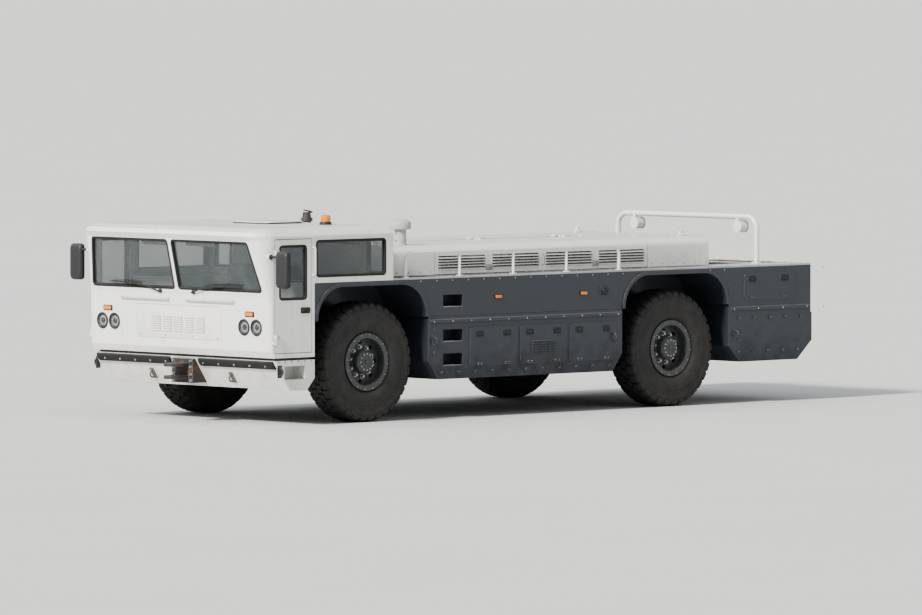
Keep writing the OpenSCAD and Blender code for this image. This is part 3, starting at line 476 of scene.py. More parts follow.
def grit_panel():
    """Dark grit bonded to the walkways, worn pale along the middle."""
    f = Finish("grit_panel")
    grit = f.cells(330.0)
    lane = f.noise(2.2, 5.0, 0.6, f.stretched(0.4, 1.5, 1.0))
    worn = (lane * 0.6 + f.noise(11.0, 5.0, 0.65) * 0.4).over(0.44, 0.68)
    f.set(
        Base_Color=f.blend((worn * 0.6 + grit * 0.25).kept(), (0.058, 0.059, 0.060), (0.26, 0.25, 0.235)),
        Roughness=(0.92 - worn * 0.12).kept(),
    )
    return f.bump(grit, 0.9, 0.0016).material


def rusty_iron():
    """Hot cast iron of the exhaust manifold, evenly rusted, with grey scale."""
    f = Finish("rusty_iron")
    scale = f.noise(30.0, 6.0, 0.7).over(0.42, 0.62)
    shade = f.blend(scale, (0.12, 0.070, 0.045), (0.22, 0.105, 0.055))
    f.set(Base_Color=shade, Roughness=(0.74 + scale * 0.14).kept())
    return f.bump(f.noise(110.0, 4.0), 0.5, 0.0012).material


def red_enamel():
    """Glossy red enamel with a few chips."""
    return sheet_paint("red_enamel", (0.42, 0.016, 0.012), 0.24, BARE_STEEL, 0.1, 0.2, 0.003, 0.6)


def dark_screen():
    """Black display glass with finger marks."""
    f = Finish("dark_screen")
    marks = f.noise(60.0, 5.0, 0.7).over(0.52, 0.72)
    shade = f.blend(marks * 0.3, (0.008, 0.010, 0.012), (0.08, 0.08, 0.08))
    f.set(Base_Color=shade, Roughness=(0.06 + marks * 0.3).kept())
    return f.material


def mirror_silver():
    """Mirror glass with a light film of dust."""
    f = Finish("mirror_silver")
    film = (f.noise(9.0, 5.0, 0.6) * 0.6 + f.noise(50.0, 4.0) * 0.4).over(0.45, 0.8)
    f.set(Base_Color=f.blend(film * 0.35, (0.80, 0.83, 0.85), (0.50, 0.48, 0.44)), Metallic=1.0,
          Roughness=(0.03 + film * 0.22).kept())
    return f.material


def assign(material, *nodes):
    """Gives CAD nodes their finish, through their material slots."""
    for name in nodes:
        node = NODES[name]
        if not node.data.materials:
            node.data.materials.append(material)
        for place in node.material_slots:
            place.link = "OBJECT"
            place.material = material


FINISH = {
    "white_paint": white_paint(),
    "hull_paint": hull_paint(),
    "deck_paint": deck_paint(),
    "frame_paint": frame_paint(),
    "coupling_steel": coupling_steel(),
    "rim_paint": rim_paint(),
    "tyre": tyre_rubber(),
    "window_glass": window_glass(),
    "cab_plastic": cab_plastic(),
    "seat_fabric": seat_fabric(),
    "grille": grille_paint(),
    "engine_paint": engine_enamel(),
    "exhaust_steel": exhaust_steel(),
    "lamp_glass": lens("lamp_glass", (0.80, 0.82, 0.84), 0.9, 60.0),
    "lamp_red": lens("lamp_red", (0.42, 0.014, 0.010), 1.0, 45.0),
    "beacon_amber": lens("beacon_amber", (0.85, 0.26, 0.012), 1.0, 70.0),
    "rail_paint": rail_paint(),
    "rubber": rubber(),
    "grit_panel": grit_panel(),
    "mirror_silver": mirror_silver(),
    "pale_plastic": grained_plastic("pale_plastic", (0.46, 0.46, 0.44), 0.68, 260.0),
    "red_enamel": red_enamel(),
    "rusty_iron": rusty_iron(),
    "dark_screen": dark_screen(),
    "zinc": zinc(),
    "reflector": reflector(),
    "clear_glass": lens("clear_glass", (0.20, 0.21, 0.22), 0.10, 60.0),
    "projector_glass": lens("projector_glass", (0.014, 0.017, 0.024), 1.0, 3.0),
}
# Each CAD node that the record lists gets the finish named by its material slot
for part in frame["record"]["subparts"]:
    assign(FINISH[part["material_slot"]], part["node"])


# Making of meshes
def bent(points, radius, closed=False, steps=5):
    """A run of straight lines through points, with its corners rounded."""
    points = [Vector(p) for p in points]
    path = []
    for i, corner in enumerate(points):
        ends = not closed and i in (0, len(points) - 1)
        before = points[i - 1] - corner
        after = points[(i + 1) % len(points)] - corner
        half = 0.0 if ends else before.angle(after) / 2
        if ends or half > math.radians(89):
            path.append(corner)
            continue
        reach = min(radius / math.tan(half), before.length * 0.49, after.length * 0.49)
        real = reach * math.tan(half)
        centre = corner + (before.normalized() + after.normalized()).normalized() * real / math.sin(half)
        start = corner + before.normalized() * reach - centre
        turn = start.rotation_difference(corner + after.normalized() * reach - centre)
        turns = [Matrix.Rotation(turn.angle * k / steps, 3, turn.axis) for k in range(steps + 1)]
        path += [centre + matrix @ start for matrix in turns]
    return path


def around(count, start=0.0):
    """Angles spread evenly over a turn."""
    return [start + 2 * math.pi * i / count for i in range(count)]


def circle(facing, count, start=0.0):
    """Unit vectors evenly round a circle that is square to a direction's main axis."""
    main = max(range(3), key=lambda i: abs(facing[i]))
    first, second = ((SIDEWAYS, UP), (FORWARD, UP), (FORWARD, SIDEWAYS))[main]
    return [first * math.cos(t) + second * math.sin(t) for t in around(count, start)]


def rectangle(low, high):
    """Corners of a rectangle between two (u, v) corners, in order."""
    return [low, (high[0], low[1]), high, (low[0], high[1])]


def round_plate(width, height, radius, at=(0.0, 0.0)):
    """Outline of a rectangle with round corners about a middle, as (u, v) pairs."""
    box = rectangle((-width / 2, -height / 2), (width / 2, height / 2))
    return [(at[0] + p.x, at[1] + p.y) for p in bent([(u, v, 0) for u, v in box], radius, True, 4)]


def strip(width, thickness):
    """Section of a flat strip about its middle."""
    return rectangle((-width / 2, -thickness / 2), (width / 2, thickness / 2))


class Shape:
    """A mesh in the making, in metres; what is added to it is measured from its base."""

    def __init__(self, base=(0, 0, 0)):
        self.bm = bmesh.new()
        self.base = Vector(base)

    def near(self, base):
        """Moves the base for what is added next."""
        self.base = Vector(base)
        return self

    def points(self, ring):
        return [self.bm.verts.new(self.base + Vector(p)) for p in ring]

    def skin(self, rings, loop=False, caps=True):
        """Faces through rings of points; loop joins the last ring to the first."""
        rows = [self.points(ring) for ring in rings]
        for k in range(len(rows) if loop else len(rows) - 1):
            near, far = rows[k], rows[(k + 1) % len(rows)]
            for i in range(len(near)):
                j = (i + 1) % len(near)
                self.bm.faces.new((near[i], near[j], far[j], far[i]))
        if caps and not loop:
            self.bm.faces.new(rows[0][::-1])
            self.bm.faces.new(rows[-1])
        return self

    def swept(self, path, section, closed=False, up=None):
        """A flat section of (u, v) pairs carried along a path; up is the direction of v."""
        path = [Vector(p) for p in path]
        count = len(path)
        rings = []
        side = None
        for i, point in enumerate(path):
            before = path[i - 1] if closed or i > 0 else point
            after = path[(i + 1) % count] if closed or i < count - 1 else point
            run = (after - before).normalized()
            if up is not None:
                side = run.cross(Vector(up)).normalized()
            elif side is None:
                side = run.orthogonal().normalized()
            else:
                side = (side - run * side.dot(run)).normalized()
            rise = side.cross(run)
            rings.append([point + side * u + rise * v for u, v in section])
        return self.skin(rings, closed)

    def pipe(self, path, radius, sides=10, bend=None):
        """Round bar or tube along a path, whose corners are rounded where a bend is given."""
        section = [(radius * math.cos(t), radius * math.sin(t)) for t in around(sides)]
        return self.swept(path if bend is None else bent(path, bend), section)

    def turned(self, profile, centre, axis, steps=28, loop=False):
        """Round shape turned about an axis: (radius, distance along the axis) pairs."""
        axis = Vector(axis).normalized()
        side = axis.orthogonal().normalized()
        other = axis.cross(side)
        rings = []
        for radius, height in profile:
            middle = Vector(centre) + axis * height
            spokes = [side * math.cos(t) + other * math.sin(t) for t in around(steps)]
            rings.append([middle + spoke * radius for spoke in spokes])
        poles = profile[0][0] < 1e-6 or profile[-1][0] < 1e-6
        self.skin(rings, loop, not poles)
        if poles and not loop:
            for radius, row in ((profile[0][0], rings[0]), (profile[-1][0], rings[-1])):
                if radius > 1e-6:
                    self.bm.faces.new(self.points(row))
        return self

    def block(self, one, other, radius=0.0, steps=2, turn=None):
        """Box between two opposite corners, its edges rounded, turned about its middle by a turn."""
        low, high = (self.base + Vector([pick(*pair) for pair in zip(one, other)]) for pick in (min, max))
        place = Matrix.Translation((low + high) / 2)
        if turn is not None:
            place = place @ turn.to_4x4()
        place = place @ Matrix.Diagonal((*(high - low), 1.0))
        made = bmesh.ops.create_cube(self.bm, size=1.0, matrix=place)
        if radius:
            edges = list({edge for vert in made["verts"] for edge in vert.link_edges})
            bmesh.ops.bevel(self.bm, geom=edges, offset=radius, segments=steps, profile=0.5, affect="EDGES")
        return self

    def plate(self, outline, low, high, axis, radius=0.0):
        """Flat outline of (u, v) pairs drawn out along x, y, z or a function's third value."""
        place = {
            "x": lambda u, v, w: (w, u, v),
            "y": lambda u, v, w: (u, w, v),
            "z": lambda u, v, w: (u, v, w),
        }.get(axis, axis)
        levels = [(low, 0.0), (high, 0.0)]
        if radius:
            rise = math.copysign(radius, high - low)
            levels = [(low, radius), (low + rise * 0.3, radius * 0.3), (low + rise, 0.0),
                      (high - rise, 0.0), (high - rise * 0.3, radius * 0.3), (high, radius)]
        middle = Vector((sum(u for u, v in outline), sum(v for u, v in outline))) / len(outline)
        reach = max((Vector(p) - middle).length for p in outline)
        rings = []
        for level, inset in levels:
            grow = 1.0 - inset / reach * 1.4
            rings.append([place(*(middle + (Vector(p) - middle) * grow), level) for p in outline])
        return self.skin(rings)

    def gasket(self, outline, out, section):
        """A section carried round a flat closed outline: u away from its middle, v along out."""
        outline = [Vector(p) for p in outline]
        out = Vector(out).normalized()
        middle = sum(outline, Vector()) / len(outline)
        rings = []
        for i, point in enumerate(outline):
            run = outline[(i + 1) % len(outline)] - outline[i - 1]
            away = run.cross(out).normalized()
            if away.dot(point - middle) < 0:
                away.negate()
            rings.append([point + away * u + out * v for u, v in section])
        return self.skin(rings, True)

    def add(self, mesh, matrix=None):
        """Takes in a finished mesh."""
        taken = mesh.copy()
        if matrix is not None:
            taken.transform(matrix)
        self.bm.from_mesh(taken)
        bpy.data.meshes.remove(taken)
        return self

    def outward(self):
        """Turns the faces outwards."""
        bmesh.ops.recalc_face_normals(self.bm, faces=self.bm.faces)
        return self

    def mesh(self, name):
        """The finished mesh, which ends the shape."""
        made = bpy.data.meshes.new(name)
        self.bm.to_mesh(made)
        self.bm.free()
        return made


def shapes(count):
    """New shapes, one for each piece that a function makes."""
    return [Shape() for _ in range(count)]


SHOWN = bpy.context.scene.collection


def piece(name, shape, finish, body="chassis", crisp=36, stands_for=(), loose=True):
    """Makes a shape a piece that rides on a body; loose faces are turned outwards first."""
    bmesh.ops.remove_doubles(shape.bm, verts=shape.bm.verts, dist=2e-5)
    mesh = (shape.outward() if loose else shape).mesh(name)
    mesh.materials.clear()
    mesh.materials.append(FINISH[finish])
    for face in mesh.polygons:
        face.material_index = 0
    mesh.shade_smooth()
    mesh.set_sharp_from_angle(angle=math.radians(crisp))
    made = bpy.data.objects.new(name, mesh)
    SHOWN.objects.link(made)
    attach(made, body)
    if stands_for:
        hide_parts(*stands_for)
    return made


class Pattern:
    """A Geometry Nodes tree that repeats something, with named inputs for its sizes."""

    def __init__(self, name, **sizes):
        self.tree = bpy.data.node_groups.new(name, "GeometryNodeTree")
        face = self.tree.interface
        face.new_socket("Geometry", in_out="INPUT", socket_type="NodeSocketGeometry")
        face.new_socket("Geometry", in_out="OUTPUT", socket_type="NodeSocketGeometry")
        self.keys = {}
        for label, value in sizes.items():
            kind = "NodeSocketInt" if isinstance(value, int) else "NodeSocketFloat"
            socket = face.new_socket(label.replace("_", " ").capitalize(), in_out="INPUT", socket_type=kind)
            socket.default_value = value
            self.keys[label] = socket.identifier
        finish = face.new_socket("Finish", in_out="INPUT", socket_type="NodeSocketMaterial")
        self.finish_key = finish.identifier
        self.given = self.tree.nodes.new("NodeGroupInput")
        self.labels = list(sizes)

    def size(self, label):
        return self.given.outputs[1 + self.labels.index(label)]

    def node(self, kind, settings=None, inputs=None, out=0):
        """Adds a node: its settings first, then the values or wires of its sockets."""
        made = self.tree.nodes.new(kind)
        for key, value in (settings or {}).items():
            setattr(made, key, value)
        for key, value in (inputs or {}).items():
            if isinstance(value, bpy.types.NodeSocket):
                self.tree.links.new(value, made.inputs[key])
            else:
                made.inputs[key].default_value = value
        return made.outputs[out]

    def spot_value(self, name, kind):
        """A value that each spot of the start mesh carries."""
        return self.node("GeometryNodeInputNamedAttribute", {"data_type": kind}, {0: name})

    def ends(self, points, thing, **inputs):
        """A copy of the thing on each point; real copies in their finish come out."""
        inputs = {0: points, "Instance": thing, **inputs}
        spread = self.node("GeometryNodeInstanceOnPoints", None, inputs)
        real = self.node("GeometryNodeRealizeInstances", None, {0: spread})
        painted = self.node("GeometryNodeSetMaterial", None, {0: real, "Material": self.given.outputs[-2]})
        last = self.tree.nodes.new("NodeGroupOutput")
        self.tree.links.new(painted, last.inputs[0])
        return self

    def laid(self, start, finish, **sizes):
        """The mesh that the tree makes of a start mesh."""
        holder = bpy.data.objects.new("pattern", start)
        SHOWN.objects.link(holder)
        modifier = holder.modifiers.new("pattern", "NODES")
        modifier.node_group = self.tree
        for label, value in sizes.items():
            modifier[self.keys[label]] = value
        modifier[self.finish_key] = FINISH[finish]
        done = bpy.data.meshes.new_from_object(holder.evaluated_get(bpy.context.evaluated_depsgraph_get()))
        bpy.data.objects.remove(holder)
        return done


def spot_mesh(spots):
    """Loose points for a pattern: (place, facing, width) rows."""
    mesh = bpy.data.meshes.new("spots")
    mesh.from_pydata([tuple(place) for place, facing, width in spots], [], [])
    mesh.attributes.new("facing", "FLOAT_VECTOR", "POINT")
    mesh.attributes.new("width", "FLOAT", "POINT")
    facings = [part for place, facing, width in spots for part in Vector(facing).normalized()]
    mesh.attributes["facing"].data.foreach_set("vector", facings)
    mesh.attributes["width"].data.foreach_set("value", [width for place, facing, width in spots])
    return mesh


def head_pattern(name, sides, height, top, washer):
    """Tree that sets a fastener's head and washer on each spot, square to the surface."""
    p = Pattern(name, head_height=height, top_width=top, washer_width=washer)

    def disc(corners, top_radius, low_radius, depth):
        inputs = {"Vertices": corners, "Radius Top": top_radius, "Radius Bottom": low_radius, "Depth": depth}
        return p.node("GeometryNodeMeshCone", {"fill_type": "NGON"}, inputs)

    head = disc(sides, p.size("top_width"), 0.5, p.size("head_height"))
    under = disc(14, p.size("washer_width"), p.size("washer_width"), 0.12)
    raised = p.node("GeometryNodeTransform", None, {0: head, "Translation": (0, 0, 0.1)})
    both = p.node("GeometryNodeJoinGeometry")
    p.tree.links.new(raised, both.node.inputs[0])
    p.tree.links.new(under, both.node.inputs[0])
    facing = p.spot_value("facing", "FLOAT_VECTOR")
    turn = p.node("FunctionNodeAlignRotationToVector", {"axis": "Z"}, {"Vector": facing})
    return p.ends(p.given.outputs[0], both, Rotation=turn, Scale=p.spot_value("width", "FLOAT"))


def ridge_pattern():
    """Tree that sets a pressed louvre, half sunk in the sheet, on each spot."""
    p = Pattern("pressed_louvres", ridge_width=0.11, ridge_rise=0.10)
    inputs = {"Vertices": 12, "Radius": p.size("ridge_width"), "Depth": 1.0}
    roll = p.node("GeometryNodeMeshCylinder", {"fill_type": "NGON"}, inputs)
    flatter = p.node("ShaderNodeCombineXYZ", None, {0: 1.0, 1: 0.8, 2: 1.0})
    inputs = {0: roll, "Rotation": (0.0, math.pi / 2, 0.0), "Scale": flatter}
    lying = p.node("GeometryNodeTransform", None, inputs)
    facing = p.spot_value("facing", "FLOAT_VECTOR")
    level = p.node("ShaderNodeVectorMath", {"operation": "CROSS_PRODUCT"}, {0: (0.0, 0.0, 1.0), 1: facing})
    flat = p.node("FunctionNodeAlignRotationToVector", {"axis": "X"}, {"Vector": level})
    settings = {"axis": "Z", "pivot_axis": "X"}
    turn = p.node("FunctionNodeAlignRotationToVector", settings, {"Rotation": flat, "Vector": facing})
    return p.ends(p.given.outputs[0], lying, Rotation=turn, Scale=p.spot_value("width", "FLOAT"))


def fin_pattern():
    """Tree that stands a thin fin on each point."""
    p = Pattern("core_fins", fin_depth=0.004, fin_height=0.225)
    inputs = {0: p.size("fin_depth"), 1: 0.0018, 2: p.size("fin_height")}
    fin = p.node("GeometryNodeMeshCube", None, {"Size": p.node("ShaderNodeCombineXYZ", None, inputs)})
    return p.ends(p.given.outputs[0], fin)


def ring_pattern(name, axis):
    """Tree that sets copies of a mesh at even steps round an axis: 1 is Y and 2 is Z."""
    p = Pattern(name, copies=36)
    points = p.node("GeometryNodeMeshLine", None, {"Count": p.size("copies"), "Offset": (0.0, 0.0, 0.0)})
    number = p.node("GeometryNodeInputIndex")
    share = p.node("ShaderNodeMath", {"operation": "DIVIDE"}, {0: number, 1: p.size("copies")})
    angle = p.node("ShaderNodeMath", {"operation": "MULTIPLY"}, {0: share, 1: 2 * math.pi})
    turn = p.node("ShaderNodeCombineXYZ", None, {axis: angle})
    return p.ends(points, p.given.outputs[0], Rotation=turn)


HEX = head_pattern("hex_heads", 6, 0.62, 0.47, 0.66)
DOME = head_pattern("dome_heads", 10, 0.30, 0.30, 0.54)
NUT = head_pattern("wheel_nuts", 6, 0.80, 0.44, 0.72)
RIDGE = ridge_pattern()
FIN = fin_pattern()
ROUND_AXLE = ring_pattern("round_the_axle", 1)
ROUND_STEM = ring_pattern("round_the_stem", 2)


def fasteners(name, spots, finish, pattern=HEX, body="chassis"):
    """Rows of bolt heads, rivets or pressed louvres that share a body."""
    return piece(name, Shape().add(pattern.laid(spot_mesh(spots), finish)), finish, body, crisp=30)


def row(start, end, count, facing, width):
    """Spots at even steps between two places."""
    start, end = Vector(start), Vector(end)
    return [(start.lerp(end, i / max(1, count - 1)), facing, width) for i in range(count)]


def bolt_circle(centre, facing, radius, count, width, start=0.0):
    """Spots at even steps round a circle."""
    return [(centre + out * radius, facing, width) for out in circle(facing, count, start)]


# Wheels: carcass, tread blocks, nuts and hub bolts
CROWN = [(0.0, 0.7248), (0.14, 0.7246), (0.165, 0.7170), (0.190, 0.7025), (0.203, 0.680), (0.2085, 0.652)]
GROOVE_DEPTH = 0.024
TREAD_CHAMFER = 0.0035
PITCHES = 34
SHOULDER_BLOCK = [0.088, 0.14, 0.165, 0.190, 0.203, 0.2075]
MIDDLE_BLOCK = [0.006, 0.040, 0.078]
CARCASS = [
    (0.3185, 0.150), (0.3190, 0.1585), (0.352, 0.1590), (0.366, 0.170), (0.384, 0.196), (0.410, 0.2115),
    (0.455, 0.2185), (0.480, 0.2190), (0.498, 0.2170), (0.503, 0.2192), (0.515, 0.2192), (0.520, 0.2160),
    (0.560, 0.2150), (0.590, 0.2140), (0.612, 0.2125), (0.616, 0.2140), (0.622, 0.2140), (0.626, 0.2115),
    (0.644, 0.2065), (0.662, 0.200), (0.680, 0.188), (0.6935, 0.166), (0.6985, 0.14), (0.7005, 0.085),
    (0.7010, 0.0),
]


def crown(across):
    """Radius of the tread's top at a distance from the tyre's middle."""
    across = abs(across)
    for (w0, r0), (w1, r1) in zip(CROWN, CROWN[1:]):
        if across <= w1:
            return r0 + (r1 - r0) * (across - w0) / (w1 - w0)
    return CROWN[-1][1]


def tread_pitch():
    """One pitch of tread: slanted shoulder blocks and staggered middle blocks, about the Y axis."""
    shape = Shape()
    step = 2 * math.pi / PITCHES
    rows = [
        (LEFT, 0.0, SHOULDER_BLOCK, (0.04, 0.80), 0.10),
        (RIGHT, 0.5, SHOULDER_BLOCK, (0.04, 0.80), 0.10),
        (LEFT, 0.42, MIDDLE_BLOCK, (0.02, 0.86), 0.22),
        (RIGHT, 0.92, MIDDLE_BLOCK, (0.02, 0.86), 0.22),
    ]
    for side, shift, stations, (start, end), slant in rows:
        rings = []
        for w in stations:
            lean = slant * (w - stations[0]) / 0.09 * (1.0 if w < 0.17 else 0.6)
            shoulder = max(0.0, (w - 0.165) / 0.0425)
            top = crown(w)
            base = top - GROOVE_DEPTH * (1.0 - 0.75 * shoulder)
            edge = top - TREAD_CHAMFER
            narrow = 0.025 + 0.05 * shoulder
            corners = [(start - 0.03, base), (start + narrow, edge), (start + narrow + 0.035, top),
                       (end - narrow - 0.035, top), (end - narrow, edge), (end + 0.03, base)]
            angles = [((s + shift + lean * 0.3) * step, r) for s, r in corners]
            rings.append([(r * math.sin(angle), side * w, r * math.cos(angle)) for angle, r in angles])
        shape.skin(rings)
    return shape.outward().mesh("tread_pitch")


def build_tyres():
    """Carcass, tread blocks and sidewall ribs; an attribute marks the tops of the tread."""
    profile = CARCASS + [(r, -w) for r, w in reversed(CARCASS[:-1])]
    tread = ROUND_AXLE.laid(tread_pitch(), "tyre", copies=PITCHES)
    ribs = Shape()
    for side in SIDES.values():
        ribs.block((-0.0045, side * 0.2130, 0.532), (0.0045, side * 0.2172, 0.584))
        ribs.block((0.018, side * 0.2050, 0.632), (0.036, side * 0.2096, 0.654))
    ribs_round = ROUND_AXLE.laid(ribs.mesh("sidewall_rib"), "tyre", copies=2 * PITCHES)
    for corner in CORNERS:
        centre = middle(f"tyre_{corner}")
        shape = Shape().turned(profile, (0, 0, 0), SIDEWAYS, 96, loop=True)
        shape.add(tread).add(ribs_round).outward()
        top = shape.bm.verts.layers.float.new("tread")
        for vert in shape.bm.verts:
            out = math.hypot(vert.co.x, vert.co.z)
            share = (out - crown(vert.co.y) + 0.012) / 0.008 if abs(vert.co.y) < 0.2 else 0.0
            vert[top] = min(1.0, max(0.0, share))
            vert.co += centre
        piece(f"treaded_tyre_{corner}", shape, "tyre", f"wheel_{corner}", 28, [f"tyre_{corner}"])


def build_wheel_fittings():
    """Nuts on the disc, bolts on the hub's end, the hub's plug and the valve."""
    for corner, side in CORNERS.items():
        centre = middle(f"tyre_{corner}")
        body = f"wheel_{corner}"
        out = SIDEWAYS * side
        nuts = bolt_circle(centre + out * 0.062, out, 0.178, 10, 0.040, 0.2)
        fasteners(f"wheel_nuts_{corner}", nuts, "zinc", NUT, body)
        bolts = bolt_circle(centre + out * 0.176, out, 0.098, 12, 0.018)
        bolts += bolt_circle(centre + out * 0.181, out, 0.330, 16, 0.012, 0.1)
        fasteners(f"hub_bolts_{corner}", bolts, "zinc", HEX, body)
        hub = Shape().turned([(0.0, 0.19), (0.022, 0.19), (0.028, 0.186), (0.030, 0.175)], centre, out, 6)
        hub.turned([(0.060, 0.1752), (0.062, 0.180), (0.078, 0.180), (0.080, 0.1752)], centre, out, 40, True)
        hub.turned([(0.150, 0.060), (0.150, 0.070), (0.144, 0.074), (0.139, 0.074)], centre, out, 40)
        piece(f"hub_trim_{corner}", hub, "rim_paint", body)
        spoke = Vector((math.cos(1.2), 0, math.sin(1.2)))
        bends = ((0.262, 0.075), (0.250, 0.105), (0.268, 0.150))
        path = [centre + out * along + spoke * radius for radius, along in bends]
        valve = Shape().pipe(path, 0.005, 8, bend=0.02)
        valve.turned([(0.0, 0.014), (0.006, 0.013), (0.0065, 0.0), (0.0, 0.0)], path[-1], out, 10)
        piece(f"valve_{corner}", valve, "zinc", body)


# Window rubbers, wipers and lamps of the cab
WALL = 0.050
PANE_BEND = 0.035
SCREEN_N = Vector((0.670, 0, -0.150)).normalized()
SCREEN_FOOT = Vector((4.65015, 0, 1.54))
SCREEN_SLOPE = 150 / 670
CAB_CORNER_X = 4.57015


def screen_at(y, z):
    """Place on the windscreen's outer face."""
    return Vector((SCREEN_FOOT.x + (z - SCREEN_FOOT.z) * SCREEN_SLOPE, y, z))


def screen_edge(z):
    """Half width of the windscreen's opening at a height."""
    reach = max(screen_at(0, z).x - CAB_CORNER_X, 0.015)
    return HULL_Y - reach - 0.020


def pane_outlines():
    """Outline and outward direction of each pane on the chassis, and how far back the glass lies."""
    panes = []
    for side in SIDES.values():
        corners = [(0.040, 1.61), (screen_edge(1.61), 1.61), (screen_edge(2.19), 2.19), (0.040, 2.19)]
        panes.append(([screen_at(side * y, z) for y, z in corners], SCREEN_N, 0.020))
        wall = [(x, side * HULL_Y, z) for x, z in rectangle((2.78015, 1.78), (3.89015, 2.20))]
        panes.append((wall, SIDEWAYS * side, 0.017))
        back = [(CAB_BACK_X, side * y, z) for y, z in rectangle((1.24, 1.79), (1.53, 2.21))]
        panes.append((back, REARWARD, 0.017))
    panes.append(([(CAB_BACK_X, y, z) for y, z in rectangle((-1.09, 2.13), (1.09, 2.24))], REARWARD, 0.017))
    return panes


def seal(shape, outline, out, depth):
    """Window rubber round a pane: a lip on the panel and a leg in to the glass."""
    section = [(-0.016, -depth), (-0.016, -0.004), (-0.010, 0.004), (0.010, 0.004), (0.015, 0.0002),
               (-0.0004, 0.0002), (-0.0004, -depth)]
    shape.gasket(bent(outline, PANE_BEND, True, 4), out, section)


def build_window_rubbers():
    """Rubbers on both faces of each pane, on the cab and in the doors."""
    shape = Shape()
    for outline, out, depth in pane_outlines():
        seal(shape, outline, out, depth)
        seal(shape, [Vector(p) - out * WALL for p in outline], -out, WALL - depth - 0.009)
    piece("window_rubbers", shape, "rubber")
    for label, side in SIDES.items():
        shape = Shape()
        for face, out, depth in ((HULL_Y, side, 0.017), (HULL_Y - WALL, -side, 0.024)):
            outline = [(x, side * face, z) for x, z in rectangle((4.06015, 1.52), (4.48015, 2.15))]
            seal(shape, outline, SIDEWAYS * out, depth)
        piece(f"door_window_rubber_{label}", shape, "rubber", f"door_{label}")


def build_wipers():
    """One parked wiper on each windscreen: spindle, sprung arm, blade with its rubber."""
    metal, rubbers = shapes(2)
    reach = [0.62 + 0.56 * i / 12 for i in range(13)]
    spindle = [(0.026, 0.0), (0.026, 0.010), (0.018, 0.020), (0.012, 0.034), (0.0, 0.036)]
    for side in SIDES.values():
        pivot = screen_at(side * 0.30, 1.575) + SCREEN_N * 0.004
        metal.turned(spindle, pivot, SCREEN_N, 16)
        knee = screen_at(side * 0.52, 1.640) + SCREEN_N * 0.040
        tip = screen_at(side * 0.90, 1.668) + SCREEN_N * 0.030
        arm = [(-0.009, -0.003), (0.009, -0.003), (0.007, 0.005), (-0.007, 0.005)]
        metal.swept(bent([pivot + SCREEN_N * 0.026, knee, tip], 0.05), arm, up=SCREEN_N)
        line = [screen_at(side * y, 1.662 + 0.012 * (y - 0.6)) for y in reach]
        bow = [0.017 + 0.006 * math.sin((y - 0.62) * 5.6) for y in reach]
        spine = [(-0.006, 0.0), (0.006, 0.0), (0.004, 0.004), (-0.004, 0.004)]
        metal.swept([p + SCREEN_N * lift for p, lift in zip(line, bow)], spine, up=SCREEN_N)
        lip = [(-0.004, 0.010), (0.004, 0.010), (0.001, -0.020), (-0.001, -0.020)]
        rubbers.swept([p + SCREEN_N * 0.004 for p in line], lip, up=SCREEN_N)
    piece("wiper_arms", metal, "cab_plastic")
    piece("wiper_blades", rubbers, "rubber")


def build_headlamps():
    """Dished reflectors with ribs, projector lenses, clear glasses and bezels in the cab's front."""
    bezels, bowls, glasses, projectors = shapes(4)
    tilt = Vector((640, 0, -30)).normalized()
    bezel = [(0.081, -0.022), (0.083, 0.010), (0.088, 0.013), (0.099, 0.009), (0.101, 0.001),
             (0.084, 0.0005), (0.084, -0.022)]
    collar = [(0.0815, 0.004), (0.064, -0.006), (0.061, -0.010), (0.0815, -0.006)]
    bowl = [(0.0, -0.0235), (0.024, -0.0225), (0.046, -0.017), (0.063, -0.008)]
    glass = [(0.0, 0.0150), (0.030, 0.0142), (0.058, 0.0110), (0.080, 0.0060), (0.0815, 0.003),
             (0.076, 0.003), (0.056, 0.0075), (0.030, 0.0105), (0.0, 0.0112)]
    projector = [(0.035, -0.021), (0.035, -0.006), (0.030, 0.001), (0.018, 0.006), (0.0, 0.008)]
    spots = []
    for side in SIDES.values():
        for y in (1.18, 1.40):
            face = Vector((4.6333, side * y, 1.18))
            bezels.turned(bezel, face, tilt, 40, True)
            bezels.turned(collar, face, tilt, 40, True)
            bowls.turned(bowl, face, tilt, 40)
            for out in circle(FORWARD, 16):
                foot_end, lip_end = out * 0.040 - tilt * 0.0165, out * 0.060 - tilt * 0.0085
                bowls.pipe([face + foot_end, face + lip_end], 0.0020, 6)
            glasses.turned(glass, face, tilt, 40)
            projectors.turned(projector, face, tilt, 24)
            spots += bolt_circle(face + tilt * 0.009, tilt, 0.093, 4, 0.008, math.pi / 4)
    piece("headlamp_bezels", bezels, "cab_plastic", stands_for=["headlamps"])
    piece("headlamp_bowls", bowls, "reflector")
    piece("headlamp_bulbs", projectors, "projector_glass")
    piece("headlamp_glasses", glasses, "clear_glass")
    fasteners("headlamp_screws", spots, "zinc", DOME)


